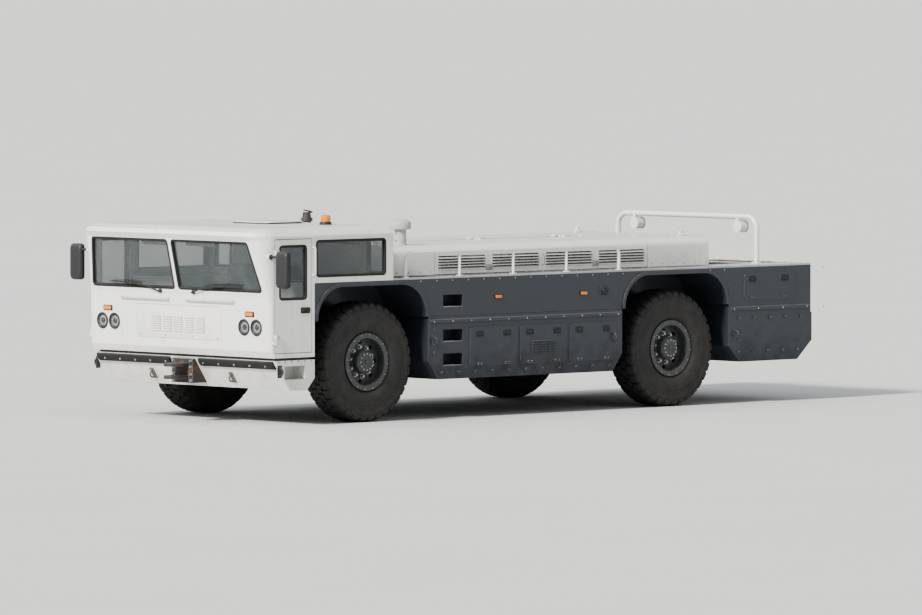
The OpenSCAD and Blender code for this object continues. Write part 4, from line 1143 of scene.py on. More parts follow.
def build_tail_lamps():
    """Clusters with red, amber and red lenses in black housings."""
    housing, red, amber = shapes(3)
    spots = []
    back, front = (corner.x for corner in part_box("tail_lamps"))
    for side in SIDES.values():
        outline = round_plate(0.220, 0.100, 0.016, (side * 1.48, 1.23))
        housing.plate(outline, back + 0.014, front, "x", 0.003)
        for shape, start, end in ((red, 1.378, 1.446), (amber, 1.450, 1.510), (red, 1.514, 1.582)):
            outline = round_plate(end - start, 0.084, 0.010, (side * (start + end) / 2, 1.23))
            shape.plate(outline, back + 0.0005, back + 0.018, "x", 0.005)
        corners = [(y, z) for y in (1.386, 1.574) for z in (1.197, 1.263)]
        spots += [((back + 0.0005, side * y, z), REARWARD, 0.007) for y, z in corners]
    piece("tail_lamp_housings", housing, "cab_plastic", stands_for=["tail_lamps"])
    piece("tail_lamp_red", red, "lamp_red")
    piece("tail_lamp_amber", amber, "beacon_amber")
    fasteners("tail_lamp_screws", spots, "zinc", DOME)


def build_beacon():
    """Ribbed amber dome over a bright lamp, on a black base."""
    at = foot("beacon")
    foot_ring = [(0.0, 0.0), (0.075, 0.0), (0.075, 0.012), (0.070, 0.030), (0.062, 0.034), (0.0, 0.034)]
    base = Shape().turned(foot_ring, at, UP, 40)
    piece("beacon_base", base, "cab_plastic", stands_for=["beacon"])
    outer = [(0.056, 0.034), (0.060, 0.040), (0.060, 0.092), (0.055, 0.108), (0.040, 0.1175), (0.0, 0.120)]
    inner = [(0.0, 0.116), (0.037, 0.1135), (0.051, 0.105), (0.056, 0.091), (0.056, 0.038), (0.053, 0.034)]
    dome = Shape().turned(outer + inner, at, UP, 40)
    for out in circle(UP, 20):
        dome.pipe([at + out * 0.0596 + UP * z for z in (0.044, 0.088)], 0.0014, 6)
    piece("beacon_dome", dome, "beacon_amber")
    bulb = [(0.020, 0.034), (0.034, 0.050), (0.040, 0.070), (0.028, 0.070), (0.012, 0.050), (0.010, 0.085),
            (0.0, 0.090)]
    piece("beacon_lamp", Shape().turned(bulb, at, UP, 24), "reflector")


# Cab outside
CAB_FACE_X = 4.62015
CAB_FACE_Z = 0.9
CAB_FACE_SLOPE = 0.046875
CAB_FACE_N = Vector((1, 0, -0.047))
GUTTER_Z = 1.722
UNDERCUT_X = 4.32015
UNDERCUT_Z = 0.43
UNDERCUT_SLOPE = 0.65385
UNDERCUT_N = Vector((0.837, 0, -0.547))
UNDERCUT_UP = Vector((0.547, 0, 0.837))
BELLY_X = (-1.17585, 2.07615)
TAIL_X = (-4.46985, -3.02385)
STEP_X = (1.51615, 1.83615)
INDICATOR_Y = 1.29
INDICATOR_Z = 1.338


def on_front(y, z, out=0.0):
    """Place on the cab's front panel, or in front of it."""
    return Vector((CAB_FACE_X + (z - CAB_FACE_Z) * CAB_FACE_SLOPE + out, y, z))


def on_undercut(y, z, out=0.0):
    """Place on the sloping face under the nose."""
    return Vector((UNDERCUT_X + (z - UNDERCUT_Z) * UNDERCUT_SLOPE, y, z)) + UNDERCUT_N * out


def build_mirrors():
    """Moulded housings on bent arms, with dished backs and flat glasses."""
    arms, shells, glasses = shapes(3)
    back = [(0.000, 0.985), (0.003, 1.0), (0.030, 1.0), (0.048, 0.97), (0.060, 0.90), (0.0675, 0.78),
            (0.070, 0.60)]
    lip = [(-0.006, -0.003), (-0.004, 0.003), (0.005, 0.003), (0.007, -0.003)]
    for side in SIDES.values():
        shells.near((4.605, side * 1.875, 1.880))
        outline = round_plate(0.210, 0.440, 0.045)
        shells.skin([[(depth, u * grow, v * grow) for u, v in outline] for depth, grow in back])
        shells.gasket([(0.0, u, v) for u, v in round_plate(0.196, 0.426, 0.040)], REARWARD, lip)
        glasses.near(shells.base).plate(round_plate(0.188, 0.418, 0.036), -0.0015, 0.001, "x")
        arms.near((4.64015, side * 1.6625, 2.030))
        knee = Vector((0, side * 0.1775, 0))
        arms.pipe([(0, 0, 0), knee, knee + Vector((0, side * 0.03, -0.05))], 0.0148, 12, bend=0.03)
        flange = [(0.030, 0.0), (0.030, 0.012), (0.022, 0.022), (0.015, 0.024)]
        arms.turned(flange, (0, 0, 0), SIDEWAYS * side, 20)
        arms.block(knee + Vector((-0.020, -0.026, -0.075)), knee + Vector((0.020, 0.026, -0.020)), 0.006)
    piece("mirror_arms", arms, "cab_plastic")
    piece("mirror_shells", shells, "cab_plastic", crisp=50, stands_for=["mirrors"])
    piece("mirror_glasses", glasses, "mirror_silver")


def build_doors():
    """Outer pulls and locks, hinge bolts, and the trim inside each door."""
    for label, side in SIDES.items():
        body = f"door_{label}"
        face = side * HULL_Y
        inner = side * (HULL_Y - WALL)
        pull = Shape()
        pull.plate(round_plate(0.150, 0.074, 0.016, (4.075, 1.380)), face, face + side * 0.007, "y", 0.002)
        bow = ((4.022, 0.004), (4.022, 0.034), (4.128, 0.034), (4.128, 0.004))
        grip = [(x, face + side * y, 1.390) for x, y in bow]
        pull.swept(bent(grip, 0.014), strip(0.016, 0.018), up=UP)
        lock = [(0.012, 0.006), (0.012, 0.012), (0.010, 0.014), (0.0, 0.014)]
        pull.turned(lock, (4.075, face, 1.362), SIDEWAYS * side, 16)
        piece(f"door_pull_{label}", pull, "cab_plastic", body)
        trim = Shape()
        trim.plate(round_plate(0.500, 0.570, 0.040, (4.270, 1.195)), inner, inner - side * 0.012, "y", 0.003)
        trim.block((4.080, inner - side * 0.060, 1.300), (4.440, inner - side * 0.010, 1.345), 0.014, 3)
        pocket = round_plate(0.420, 0.130, 0.025, (4.270, 1.010))
        trim.plate(pocket, inner - side * 0.011, inner - side * 0.045, "y", 0.008)
        lever = ((4.050, 0.004, 1.400), (4.050, 0.030, 1.400), (4.130, 0.034, 1.405))
        trim.pipe([(x, inner - side * depth, z) for x, depth, z in lever], 0.006, 8, bend=0.012)
        piece(f"door_trim_{label}", trim, "cab_plastic", body)
        hinges = [z + dz for z in (1.040, 2.050) for dz in (0.016, 0.044)]
        spots = [((4.523, face + side * 0.0235, z), SIDEWAYS * side, 0.012) for z in hinges]
        fasteners(f"door_bolts_{label}", spots, "zinc", HEX, body)


def build_cab_outside():
    """Drip rails, grab rails, roof hatch and seams, the front flap and its rows of fasteners."""
    rails, sheet, rubbers, lamps = shapes(4)
    rivets, screws, slots = [], [], []
    drip = [(0.000, -0.003), (0.018, -0.001), (0.018, 0.010), (0.0155, 0.010), (0.0145, 0.003),
            (0.000, 0.0025)]
    for side in SIDES.values():
        out, wall = SIDEWAYS * side, side * HULL_Y
        sheet.skin([[(x, wall + side * u, 2.2435 + v) for u, v in drip] for x in (2.690, 3.2, 3.9, 4.555)])
        reach = side * (HULL_Y + 0.046)
        post = [(3.9520, y, z) for y, z in ((wall, 1.80), (reach, 1.80), (reach, 2.13), (wall, 2.13))]
        rails.pipe(post, 0.0105, 12, bend=0.022)
        for end in (post[0], post[-1]):
            rails.turned([(0.021, 0.0), (0.021, 0.004), (0.013, 0.007)], end, out, 18)
        bow = ((0.16, 0), (0.16, 0.050), (1.02, 0.050), (1.02, 0))
        bar = [on_front(side * y, 1.49, lift) for y, lift in bow]
        rails.pipe(bar, 0.0125, 12, bend=0.030)
        for end in (bar[0], bar[-1]):
            rails.turned([(0.026, 0.0), (0.026, 0.004), (0.015, 0.009)], end, CAB_FACE_N, 18)
        rivets += row((2.79, side * 1.535, ROOF_Z), (4.62, side * 1.535, ROOF_Z), 19, UP, 0.013)
        rivets += row((2.70, wall, GUTTER_Z), (3.90, wall, GUTTER_Z), 11, out, 0.011)
        rivets += row((CAB_BACK_X, side * 1.62, 1.78), (CAB_BACK_X, side * 1.62, 2.22), 5, REARWARD, 0.011)
        lamp = (side * INDICATOR_Y, INDICATOR_Z)
        rubbers.plate(round_plate(0.165, 0.066, 0.014, lamp), 0.0, 0.008, on_front, 0.002)
        lamps.plate(round_plate(0.128, 0.046, 0.010, lamp), 0.0075, 0.0175, on_front, 0.004)
        screws += [(on_front(lamp[0] + d, INDICATOR_Z, 0.008), FORWARD, 0.007) for d in (-0.072, 0.072)]
    for x in (2.80, 3.62, 4.60):
        sheet.block((x - 0.018, -1.53, ROOF_Z - 0.001), (x + 0.018, 1.53, ROOF_Z + 0.0025), 0.001, 1)
        rivets += row((x - 0.010, -1.45, ROOF_Z + 0.0025), (x - 0.010, 1.45, ROOF_Z + 0.0025), 25, UP, 0.010)
    rubbers.plate(round_plate(0.600, 0.680, 0.070, (3.20, 0)), ROOF_Z - 0.001, ROOF_Z + 0.010, "z", 0.003)
    sheet.plate(round_plate(0.560, 0.640, 0.060, (3.20, 0)), ROOF_Z + 0.010, ROOF_Z + 0.026, "z", 0.006)
    sheet.plate(round_plate(1.560, 0.400, 0.030, (0, 1.205)), 0.0002, 0.0045, on_front, 0.001)
    sheet.pipe([on_front(y, 1.412, 0.004) for y in (-0.76, 0.76)], 0.006, 10)
    rivets += [(on_front(-0.72 + 0.12 * i, 1.428, 0.0005), FORWARD, 0.009) for i in range(13)]
    screws += [(on_front(y, 1.035, 0.0045), FORWARD, 0.020) for y in (-0.70, -0.24, 0.24, 0.70)]
    for k in range(7):
        places = [on_front(y, 1.10 + 0.028 * k, 0.0045) for y in (-0.40, -0.20, 0.0, 0.20, 0.40)]
        slots += [(place, CAB_FACE_N, 0.150) for place in places]
    piece("cab_trim_sheet", sheet, "white_paint")
    piece("cab_grab_rails", rails, "rail_paint")
    piece("cab_trim_rubber", rubbers, "rubber")
    fasteners("cab_rivets", rivets, "white_paint", DOME)
    fasteners("cab_screws", screws, "zinc", DOME)
    fasteners("front_louvres", slots, "white_paint", RIDGE)
    piece("front_indicators", lamps, "beacon_amber")


def eye(shape, at, out, along):
    """Welded lashing eye: a pad and a half ring standing out from it."""
    at, out, along = Vector(at), Vector(out).normalized(), Vector(along).normalized()
    turns = [math.pi * i / 12 for i in range(13)]
    ring = [at + along * 0.045 * math.cos(t) + out * (0.004 + 0.058 * math.sin(t)) for t in turns]
    shape.pipe(ring, 0.011, 10)
    cross = out.cross(along)
    pad = [at + along * u + cross * v for u, v in round_plate(0.150, 0.070, 0.012)]
    shape.skin([pad, [p + out * 0.008 for p in pad]])


def build_nose():
    """Rubber on the undercut, recovery eyes, and bolts of both couplings and the step pockets."""
    rubbers, steel = shapes(2)
    bolts = []
    section = [(-0.055, 0.0), (-0.050, 0.018), (-0.025, 0.030), (0.025, 0.030), (0.050, 0.018), (0.055, 0.0)]
    for side in SIDES.values():
        stations = [on_undercut(side * y, 0.735) for y in (0.26, 0.6, 1.0, 1.4, 1.60)]
        rubbers.skin([[p + UNDERCUT_UP * u + UNDERCUT_N * v for u, v in section] for p in stations])
        heads = [on_undercut(side * y, 0.735, 0.0295) for y in (0.34, 0.62, 0.90, 1.18, 1.46)]
        bolts += [(place, UNDERCUT_N, 0.020) for place in heads]
        eye(steel, on_undercut(side * 0.72, 0.560), UNDERCUT_N, UNDERCUT_UP)
        for x, facing, low in ((4.57949, FORWARD, 0.505), (-4.59015, REARWARD, 0.785)):
            bolts += [((x, side * 0.158, low + rise), facing, 0.030) for rise in (0, 0.070, 0.160, 0.230)]
        bolts += row((3.985, side * HULL_Y, 0.775), (4.50, side * HULL_Y, 0.775), 6, SIDEWAYS * side, 0.018)
    piece("nose_rubber", rubbers, "rubber")
    piece("nose_eyes", steel, "frame_paint")
    fasteners("nose_bolts", bolts, "zinc")


def build_step_treads():
    """Studded treads with worn nosings on the floor of each step pocket."""
    plates, studs = Shape(), []
    pockets = [(4.08415, 4.40415, 0.560, 0.195)] + [(*STEP_X, z, 0.175) for z in (0.640, 0.930, 1.350)]
    for side in SIDES.values():
        for x0, x1, z, deep in pockets:
            edge = side * (HULL_Y - 0.002)
            plates.block((x0 + 0.006, side * (HULL_Y - deep), z), (x1 - 0.006, edge, z + 0.005), 0.002, 1)
            nosing = (x0 + 0.006, side * (HULL_Y - 0.020), z + 0.004)
            plates.block(nosing, (x1 - 0.006, edge, z + 0.010), 0.002, 1)
            for i in range(8):
                for j in range(4):
                    x, y = x0 + 0.035 + i * 0.036 + (j % 2) * 0.012, side * (HULL_Y - 0.045 - j * 0.036)
                    studs.append(((x, y, z + 0.005), UP, 0.014))
    piece("step_treads", plates, "zinc")
    fasteners("step_studs", studs, "zinc", DOME)


# Hull sides, decks and tail
def latch(shape, at, out):
    """Paddle latch: a pressed dish with a lever across it."""
    at, out = Vector(at), Vector(out).normalized()
    across = UP.cross(out)

    def outline(width, height, radius, lift, grow=1.0):
        shift = at + out * lift
        return [shift + (across * u + UP * v) * grow for u, v in round_plate(width, height, radius)]

    dish, well, lever = (0.120, 0.076, 0.018), (0.096, 0.052, 0.014), (0.064, 0.034, 0.008)
    shape.skin([outline(*dish, 0), outline(*dish, 0.005), outline(*well, 0.005), outline(*well, 0.002)])
    shape.skin([outline(*lever, 0.001), outline(*lever, 0.008), outline(*lever, 0.011, 0.86)])


def build_hull_sides():
    """Locker latches and hinges, ballast bolts, strake screws, side lamps, lashing eyes and the fuel cap."""
    latches, hinges, lamps, housings, steel = shapes(5)
    big, small, ridges = [], [], []
    first_locker = BELLY_X[0] + 0.120
    gap = 0.060
    pitch = (1.39615 - first_locker + gap) / 3
    for side in SIDES.values():
        out, wall = SIDEWAYS * side, side * HULL_Y
        face = side * (HULL_Y + 0.010)
        pin_y = side * (HULL_Y + 0.016)

        def fittings(x, latch_z, low, high, pin_z):
            latch(latches, (x, face, latch_z), out)
            hinges.block((x - 0.045, face, low), (x + 0.045, pin_y, high), 0.002, 1)
            hinges.pipe([(x - 0.045, pin_y, pin_z), (x + 0.045, pin_y, pin_z)], 0.008, 10)

        for i in range(3):
            x0 = first_locker + i * pitch
            x1 = x0 + pitch - gap
            for x in (x0 + 0.16, x1 - 0.16):
                fittings(x, 1.010, 0.622, 0.668, 0.630)
                small += [((x + d, pin_y, 0.655), out, 0.010) for d in (-0.028, 0.028)]
            if i == 1:
                columns = [(x0 + x1) / 2 + d for d in (-0.14, 0, 0.14)]
                ridges += [((x, face, 0.74 + 0.030 * k), out, 0.120) for k in range(6) for x in columns]
        for x in (-4.0, -3.43):
            fittings(x, 1.550, 1.306, 1.350, 1.312)
        for x0, z0, x1, z1, count in ((-0.95, 0.555, 1.86, 0.555, 11), (-4.24, 0.640, -3.20, 0.640, 5),
                                      (-4.30, 1.060, -3.20, 1.060, 5), (1.985, 0.80, 1.985, 1.08, 2)):
            big += row((x0, wall, z0), (x1, wall, z1), count, out, 0.036)
        strake = side * (HULL_Y + 0.018)
        for x0, x1 in (BELLY_X, TAIL_X):
            x0, x1 = x0 + 0.08, x1 - 0.08
            small += row((x0, strake, 1.18), (x1, strake, 1.18), max(3, int((x1 - x0) / 0.26)), out, 0.015)
        for x0, x1, count in ((BELLY_X[0] - 0.02, 2.20, 14), (-2.95, -2.70, 2)):
            small += row((x0, wall, 1.675), (x1, wall, 1.675), count, out, 0.013)
        for x in (-0.52, 0.92):
            outline = round_plate(0.130, 0.056, 0.014, (x, 1.455))
            housings.plate(outline, wall, side * (HULL_Y + 0.008), "y", 0.002)
            glass = round_plate(0.104, 0.036, 0.010, (x, 1.455))
            lamps.plate(glass, side * (HULL_Y + 0.007), side * (HULL_Y + 0.017), "y", 0.004)
        for x, z in ((-1.02, 0.90), (1.985, 0.94), (-3.14, 0.86), (4.49, 0.66)):
            eye(steel, (x, wall, z), out, UP)
    at = Vector((-0.86, HULL_Y, 1.475))
    steel.turned([(0.070, 0.0), (0.070, 0.006), (0.058, 0.010), (0.056, 0.010)], at, SIDEWAYS, 32)
    housings.turned([(0.052, 0.008), (0.052, 0.030), (0.046, 0.037), (0.0, 0.038)], at, SIDEWAYS, 32)
    for grip in circle(SIDEWAYS, 12):
        housings.pipe([at + grip * 0.052 + SIDEWAYS * y for y in (0.012, 0.032)], 0.005, 8)
    piece("hull_latches", latches, "cab_plastic")
    piece("hull_hinges", hinges, "hull_paint")
    piece("side_lamp_housings", housings, "cab_plastic")
    piece("side_lamps", lamps, "beacon_amber")
    piece("hull_eyes", steel, "hull_paint")
    fasteners("ballast_bolts", big, "hull_paint")
    fasteners("hull_screws", small, "zinc", DOME)
    fasteners("locker_louvres", ridges, "hull_paint", RIDGE)


def build_decks():
    """Grit panels, edge bolts and the bolts of the rails' feet."""
    grit, bolts = Shape(), []
    start, step = -2.92, 5.42 / 6
    runs = [(start + i * step + 0.03, start + (i + 1) * step - 0.03, 1.225, 1.525) for i in range(6)]
    for x0, x1 in ((-4.38, -4.02), (-3.80, -3.28)):
        runs += [(x0, x1, y0, y1) for y0, y1 in ((0.08, 0.56), (0.64, 1.12))]
    for side in SIDES.values():
        for x0, x1, y0, y1 in runs:
            outline = round_plate(x1 - x0, y1 - y0, 0.030, ((x0 + x1) / 2, side * (y0 + y1) / 2))
            grit.plate(outline, WALKWAY_Z - 0.0005, WALKWAY_Z + 0.0025, "z")
        for x0, y0, x1, y1, count in ((-4.42, 1.630, 2.58, 1.630, 26), (-3.10, 1.200, 2.58, 1.200, 21),
                                      (-4.44, 0.06, -4.44, 1.52, 6)):
            bolts += row((x0, side * y0, WALKWAY_Z), (x1, side * y1, WALKWAY_Z), count, UP, 0.015)
        for i in range(5):
            at = Vector((BELLY_X[0] + i * 0.894, side * 1.590, WALKWAY_Z + 0.0103))
            bolts += bolt_circle(at, UP, 0.034, 4, 0.012, 0.785)
        bolts += bolt_circle(Vector((-3.90985, side * 1.250, WALKWAY_Z + 0.0123)), UP, 0.054, 6, 0.017)
    piece("deck_grit_panels", grit, "grit_panel")
    fasteners("deck_bolts", bolts, "zinc")


def build_tail():
    """Rubber buffers, bumper bolts, a blank plate with its lamp, reflectors, sockets and air couplings."""
    rubbers, plates, red, sockets = shapes(4)
    bolts = []
    bumper, sheet = -4.54985, TAIL_X[0]
    for side in SIDES.values():
        for y0, y1 in ((0.42, 0.86), (1.06, 1.50)):
            rubbers.block((bumper - 0.062, side * y0, 0.800), (bumper, side * y1, 1.040), 0.020, 3)
            corners = [(y, z) for y in (y0 + 0.06, y1 - 0.06) for z in (0.86, 0.98)]
            bolts += [((bumper - 0.061, side * y, z), REARWARD, 0.022) for y, z in corners]
        bolts += [((bumper, side * y, z), REARWARD, 0.024) for y in (0.96, 1.55) for z in (0.79, 1.05)]
        at = (sheet, side * 1.22, 1.23)
        red.turned([(0.0, 0.014), (0.030, 0.013), (0.038, 0.009), (0.040, 0.0)], at, REARWARD, 28)
        plates.turned([(0.046, 0.0), (0.046, 0.006), (0.040, 0.0075)], at, REARWARD, 28)
        eye(plates, (sheet, side * 0.90, 1.36), REARWARD, UP)
        at = Vector((sheet, side * 0.32, 1.235))
        sockets.near(at).block((-0.020, -0.055, -0.055), (0, 0.055, 0.055), 0.008)
        lid = [(0.040, 0.0), (0.040, 0.034), (0.046, 0.036), (0.046, 0.044), (0.034, 0.050), (0.0, 0.052)]
        sockets.turned(lid, (-0.016, 0, -0.004), (-1, 0, -0.22), 28)
        sockets.pipe([(-0.042, -0.030, 0.044), (-0.042, 0.030, 0.044)], 0.008, 10)
        corners = rectangle((-0.043, -0.043), (0.043, 0.043))
        bolts += [(at + Vector((-0.020, y, z)), REARWARD, 0.009) for y, z in corners]
        at = (sheet, side * 0.54, 1.225)
        plates.near(at).pipe([(0, 0, 0), (-0.040, 0, 0), (-0.052, 0, -0.040)], 0.013, 12, bend=0.03)
        plates.turned([(0.024, 0.0), (0.024, 0.010), (0.014, 0.012)], (0, 0, 0), REARWARD, 6)
        palm = (red if side == LEFT else plates).near(at)
        grip = [(0.0, -0.018), (0.030, -0.018), (0.036, -0.010), (0.036, 0.008), (0.028, 0.014),
                (0.026, 0.020), (0.0, 0.021)]
        palm.turned(grip, (-0.052, 0, -0.060), (0, side, 0.1), 26)
        palm.block((-0.066, -0.012, -0.112), (-0.040, 0.012, -0.070), 0.005)
        for shape in (red, plates):
            shape.near((0, 0, 0))
    for y0, y1, z, count in ((-1.88, 1.88, 1.675, 15), (-1.88, -0.60, 1.180, 5), (0.60, 1.88, 1.180, 5)):
        bolts += row((sheet, y0, z), (sheet, y1, z), count, REARWARD, 0.013)
    plates.plate(round_plate(0.360, 0.120, 0.012, (0, 1.42)), sheet - 0.006, sheet, "x", 0.0015)
    plates.block((sheet - 0.040, -0.060, 1.495), (sheet, 0.060, 1.520), 0.006)
    bolts += [((sheet - 0.006, y, 1.42), REARWARD, 0.010) for y in (-0.155, 0.155)]
    piece("tail_buffers", rubbers, "rubber")
    piece("tail_plates", plates, "zinc")
    piece("tail_sockets", sockets, "cab_plastic")
    piece("tail_reflectors", red, "lamp_red")
    fasteners("tail_bolts", bolts, "zinc")


def build_work_lamps():
    """Glasses, dishes and wire guards of the two lamps under the hoop."""
    guards, bowls, glasses = shapes(3)
    glass = [(0.0, 0.012), (0.040, 0.010), (0.066, 0.004), (0.069, -0.002), (0.060, 0.0)]
    bowl = [(0.066, 0.0008), (0.040, -0.0002), (0.0, -0.001)]
    rim = [(0.070, -0.004), (0.077, -0.002), (0.078, 0.008), (0.070, 0.011), (0.068, 0.004)]
    for side in SIDES.values():
        at = (-3.99985, side * 0.930, 2.175)
        glasses.turned(glass, at, REARWARD, 32)
        bowls.near(at).turned(bowl, (-0.001, 0, 0), REARWARD, 32)
        guards.near(at).turned(rim, (0, 0, 0), REARWARD, 32, True)
        for z in (-0.036, 0.0, 0.036):
            half = math.sqrt(0.073 ** 2 - z ** 2)
            wire = ((-0.008, -half), (-0.024, -half * 0.6), (-0.024, half * 0.6), (-0.008, half))
            guards.pipe([(x, y, z) for x, y in wire], 0.0022, 6)
    piece("work_lamp_guards", guards, "cab_plastic")
    piece("work_lamp_bowls", bowls, "reflector")
    piece("work_lamp_glasses", glasses, "clear_glass")


# Bonnet, exhaust and air intake
LID_X = (-2.06785, 1.53415)
BANK = (LID_X[1] - LID_X[0]) / 4
BONNET_END_X = -3.17385


def build_bonnet():
    """Lid latches, pulls and inner ribs, fixed bolts, lifting eyes and the radiator's core."""
    inset_x = (LID_X[0] + 0.03, LID_X[1] - 0.03)
    for label, side in SIDES.items():
        body = f"engine_lid_{label}"
        out, wall = SIDEWAYS * side, side * BONNET_Y
        metal, ribs = shapes(2)
        for k in (1, 3):
            latch(metal, (LID_X[0] + k * BANK, wall, 1.790), out)
        reach = side * (BONNET_Y + 0.040)
        bow = ((wall, 1.80), (reach, 1.80), (reach, 1.92), (wall, 1.92))
        grip = [(LID_X[0] + 2 * BANK, y, z) for y, z in bow]
        metal.pipe(grip, 0.008, 10, bend=0.018)
        piece(f"lid_latches_{label}", metal, "zinc", body)
        section = [(-0.030, 0.0), (-0.022, -0.022), (0.022, -0.022), (0.030, 0.0)]
        for k in (0.12, 1, 2, 3, 3.88):
            x = LID_X[0] + k * BANK
            z = BONNET_Z - 0.0252
            ribs.skin([[(x + u, side * y, z + v) for u, v in section] for y in (0.14, 0.6, 1.06)])
        piece(f"lid_ribs_{label}", ribs, "white_paint", body)
        spots = []
        for x in inset_x:
            spots += row((x, side * 0.16, BONNET_Z), (x, side * 1.04, BONNET_Z), 6, UP, 0.012)
        for k in range(5):
            x = min(max(LID_X[0] + k * BANK, inset_x[0]), inset_x[1])
            spots += [((x, wall, z), out, 0.010) for z in (1.86, 1.95)]
        fasteners(f"lid_rivets_{label}", spots, "white_paint", DOME, body)
    steel, bolts = Shape(), []
    for side in SIDES.values():
        for x0, x1 in ((1.60, 2.54), (-3.08, -2.14)):
            wall = side * BONNET_Y
            bolts += row((x0, wall, 1.760), (x1, wall, 1.760), 6, SIDEWAYS * side, 0.014)
        for x in (2.56, -3.09):
            bolts += row((x, side * 0.10, BONNET_Z), (x, side * 1.04, BONNET_Z), 6, UP, 0.014)
        for z in (1.745, 2.020):
            bolts += row((BONNET_END_X, side * 0.12, z), (BONNET_END_X, side * 1.02, z), 6, REARWARD, 0.014)
        for x in (2.30, -2.90):
            eye(steel, (x, side * 0.93, BONNET_Z), UP, FORWARD)
    piece("bonnet_eyes", steel, "white_paint")
    fasteners("bonnet_bolts", bolts, "zinc")
    line = bpy.data.meshes.new("fin_line")
    line.from_pydata([(-3.1500, -1.015 + 0.0078 * i, 1.8825) for i in range(261)], [], [])
    piece("radiator_core", Shape().add(FIN.laid(line, "grille")), "grille")


def build_exhaust():
    """Perforated heat shield, clamps and a rain flap on the tail pipe."""
    at = foot("exhaust")
    radius, rows = 0.0715, 9
    low, high = 0.060, 0.275
    levels = [low + (high - low) * k / rows for k in range(rows + 1)]
    shape = Shape().skin([[out * radius + UP * z for out in circle(UP, 30)] for z in levels], caps=False)
    shield = shape.bm
    holed = [f for f in shield.faces if low + 0.02 < f.calc_center_median().z < high - 0.02]
    bmesh.ops.inset_individual(shield, faces=holed, thickness=0.0042)
    bmesh.ops.delete(shield, geom=holed, context="FACES")
    bmesh.ops.solidify(shield, geom=shield.faces[:], thickness=0.0015)
    bmesh.ops.translate(shield, verts=shield.verts, vec=at)
    clamp = [(0.054, -0.006), (0.074, -0.006), (0.076, 0.0), (0.074, 0.006), (0.054, 0.006)]
    for z in (0.052, 0.283):
        shape.turned(clamp, at + UP * z, UP, 30, True)
    shape.near(at + Vector((-0.048, 0, 0.366)))
    lean = Matrix.Rotation(math.radians(-14), 3, "Y")
    disc = [lean @ (FORWARD * 0.048 + out * 0.052) for out in circle(UP, 28)]
    shape.skin([disc, [p + UP * 0.003 for p in disc]])
    shape.pipe([(0, -0.022, 0), (0, 0.022, 0)], 0.006, 10)
    shape.block((-0.040, -0.010, -0.016), (-0.006, 0.010, 0.004), 0.003)
    piece("exhaust_shield", shape, "exhaust_steel")


def build_air_intake():
    """Air cleaner with its vaned cap and two clamps."""
    at = foot("air_cleaner")
    cap = Shape(at)
    cleaner = [(0.0, 0.0), (0.088, 0.0), (0.088, 0.010), (0.072, 0.014), (0.070, 0.185), (0.078, 0.190),
               (0.118, 0.193), (0.128, 0.200), (0.130, 0.212), (0.130, 0.262), (0.124, 0.280),
               (0.100, 0.300), (0.062, 0.318), (0.0, 0.320)]
    clamp = [(0.069, -0.008), (0.0735, -0.008), (0.0735, 0.008), (0.069, 0.008)]
    cap.turned(cleaner, (0, 0, 0), UP, 48)
    for z in (0.060, 0.150):
        cap.turned(clamp, UP * z, UP, 36, True)
        cap.block((0.070, -0.012, z - 0.008), (0.092, 0.012, z + 0.008), 0.003)
    vane = Shape().block((0.1285, -0.002, 0.206), (0.1300, 0.002, 0.268), 0.0006, 1).mesh("vane")
    cap.add(ROUND_STEM.laid(vane, "pale_plastic", copies=32), Matrix.Translation(at))
    piece("air_intake", cap, "pale_plastic", stands_for=["air_cleaner"])


# Inside of the cab
SEAT = Vector((3.49415, 0.430, 1.0203))
FLOOR_Z = 1.020
FOOTWELL_Z = 0.820
TUB_Y = 0.790
TUB_Z = 1.700
CEILING_Z = 2.290
BACK_LEAN = -0.1356


def baked(thing):
    """The mesh of an object with its modifiers applied."""
    return bpy.data.meshes.new_from_object(thing.evaluated_get(bpy.context.evaluated_depsgraph_get()))


def blown_up(low, high, held, swell):
    """Cloth block between two corners, filled with air while the held points stay put."""
    pad = bpy.data.objects.new("pad", Shape().block(low, high, 0.030, 4).mesh("pad"))
    SHOWN.objects.link(pad)
    voxels = pad.modifiers.new("voxels", "REMESH")
    voxels.mode = "VOXEL"
    voxels.voxel_size = 0.010
    pad.data = baked(pad)
    pad.modifiers.clear()
    mesh = pad.data
    group = pad.vertex_groups.new(name="held")
    group.add([v.index for v in mesh.vertices if held(v.co)], 1.0, "REPLACE")
    cloth = pad.modifiers.new("cloth", "CLOTH").settings
    cloth.use_pressure = True
    cloth.uniform_pressure_force = 4.0
    cloth.vertex_group_mass = "held"
    cloth.effector_weights.gravity = 0.0
    for frame_number in range(1, 21):
        bpy.context.scene.frame_set(frame_number)
    moved = [v.co.copy() for v in baked(pad).vertices]
    pad.modifiers.clear()
    bpy.context.scene.frame_set(1)
    for v, place in zip(mesh.vertices, moved):
        step = place - v.co
        v.co += step * min(1.0, swell / max(step.length, 1e-9))
    smooth = pad.modifiers.new("smooth", "SUBSURF")
    smooth.levels = smooth.render_levels = 1
    done = baked(pad)
    bpy.data.objects.remove(pad)
    return done


def sewn(mesh, lines, seam_z, depth=0.007, width=0.012):
    """Presses sewn lines along a pad's faces, and a seam round its sides."""
    normals = [n.vector.copy() for n in mesh.vertex_normals]
    for v, normal in zip(mesh.vertices, normals):
        line_gap = min(abs(v.co.y - line) for line in lines)
        seam_gap = min(abs(v.co.z - z) for z in seam_z) if abs(normal.z) < 0.8 else 1.0
        for gap, share in ((line_gap, depth), (seam_gap, depth * 0.6)):
            if gap < width:
                v.co -= normal * share * (1.0 - (gap / width) ** 2) ** 2
    return mesh


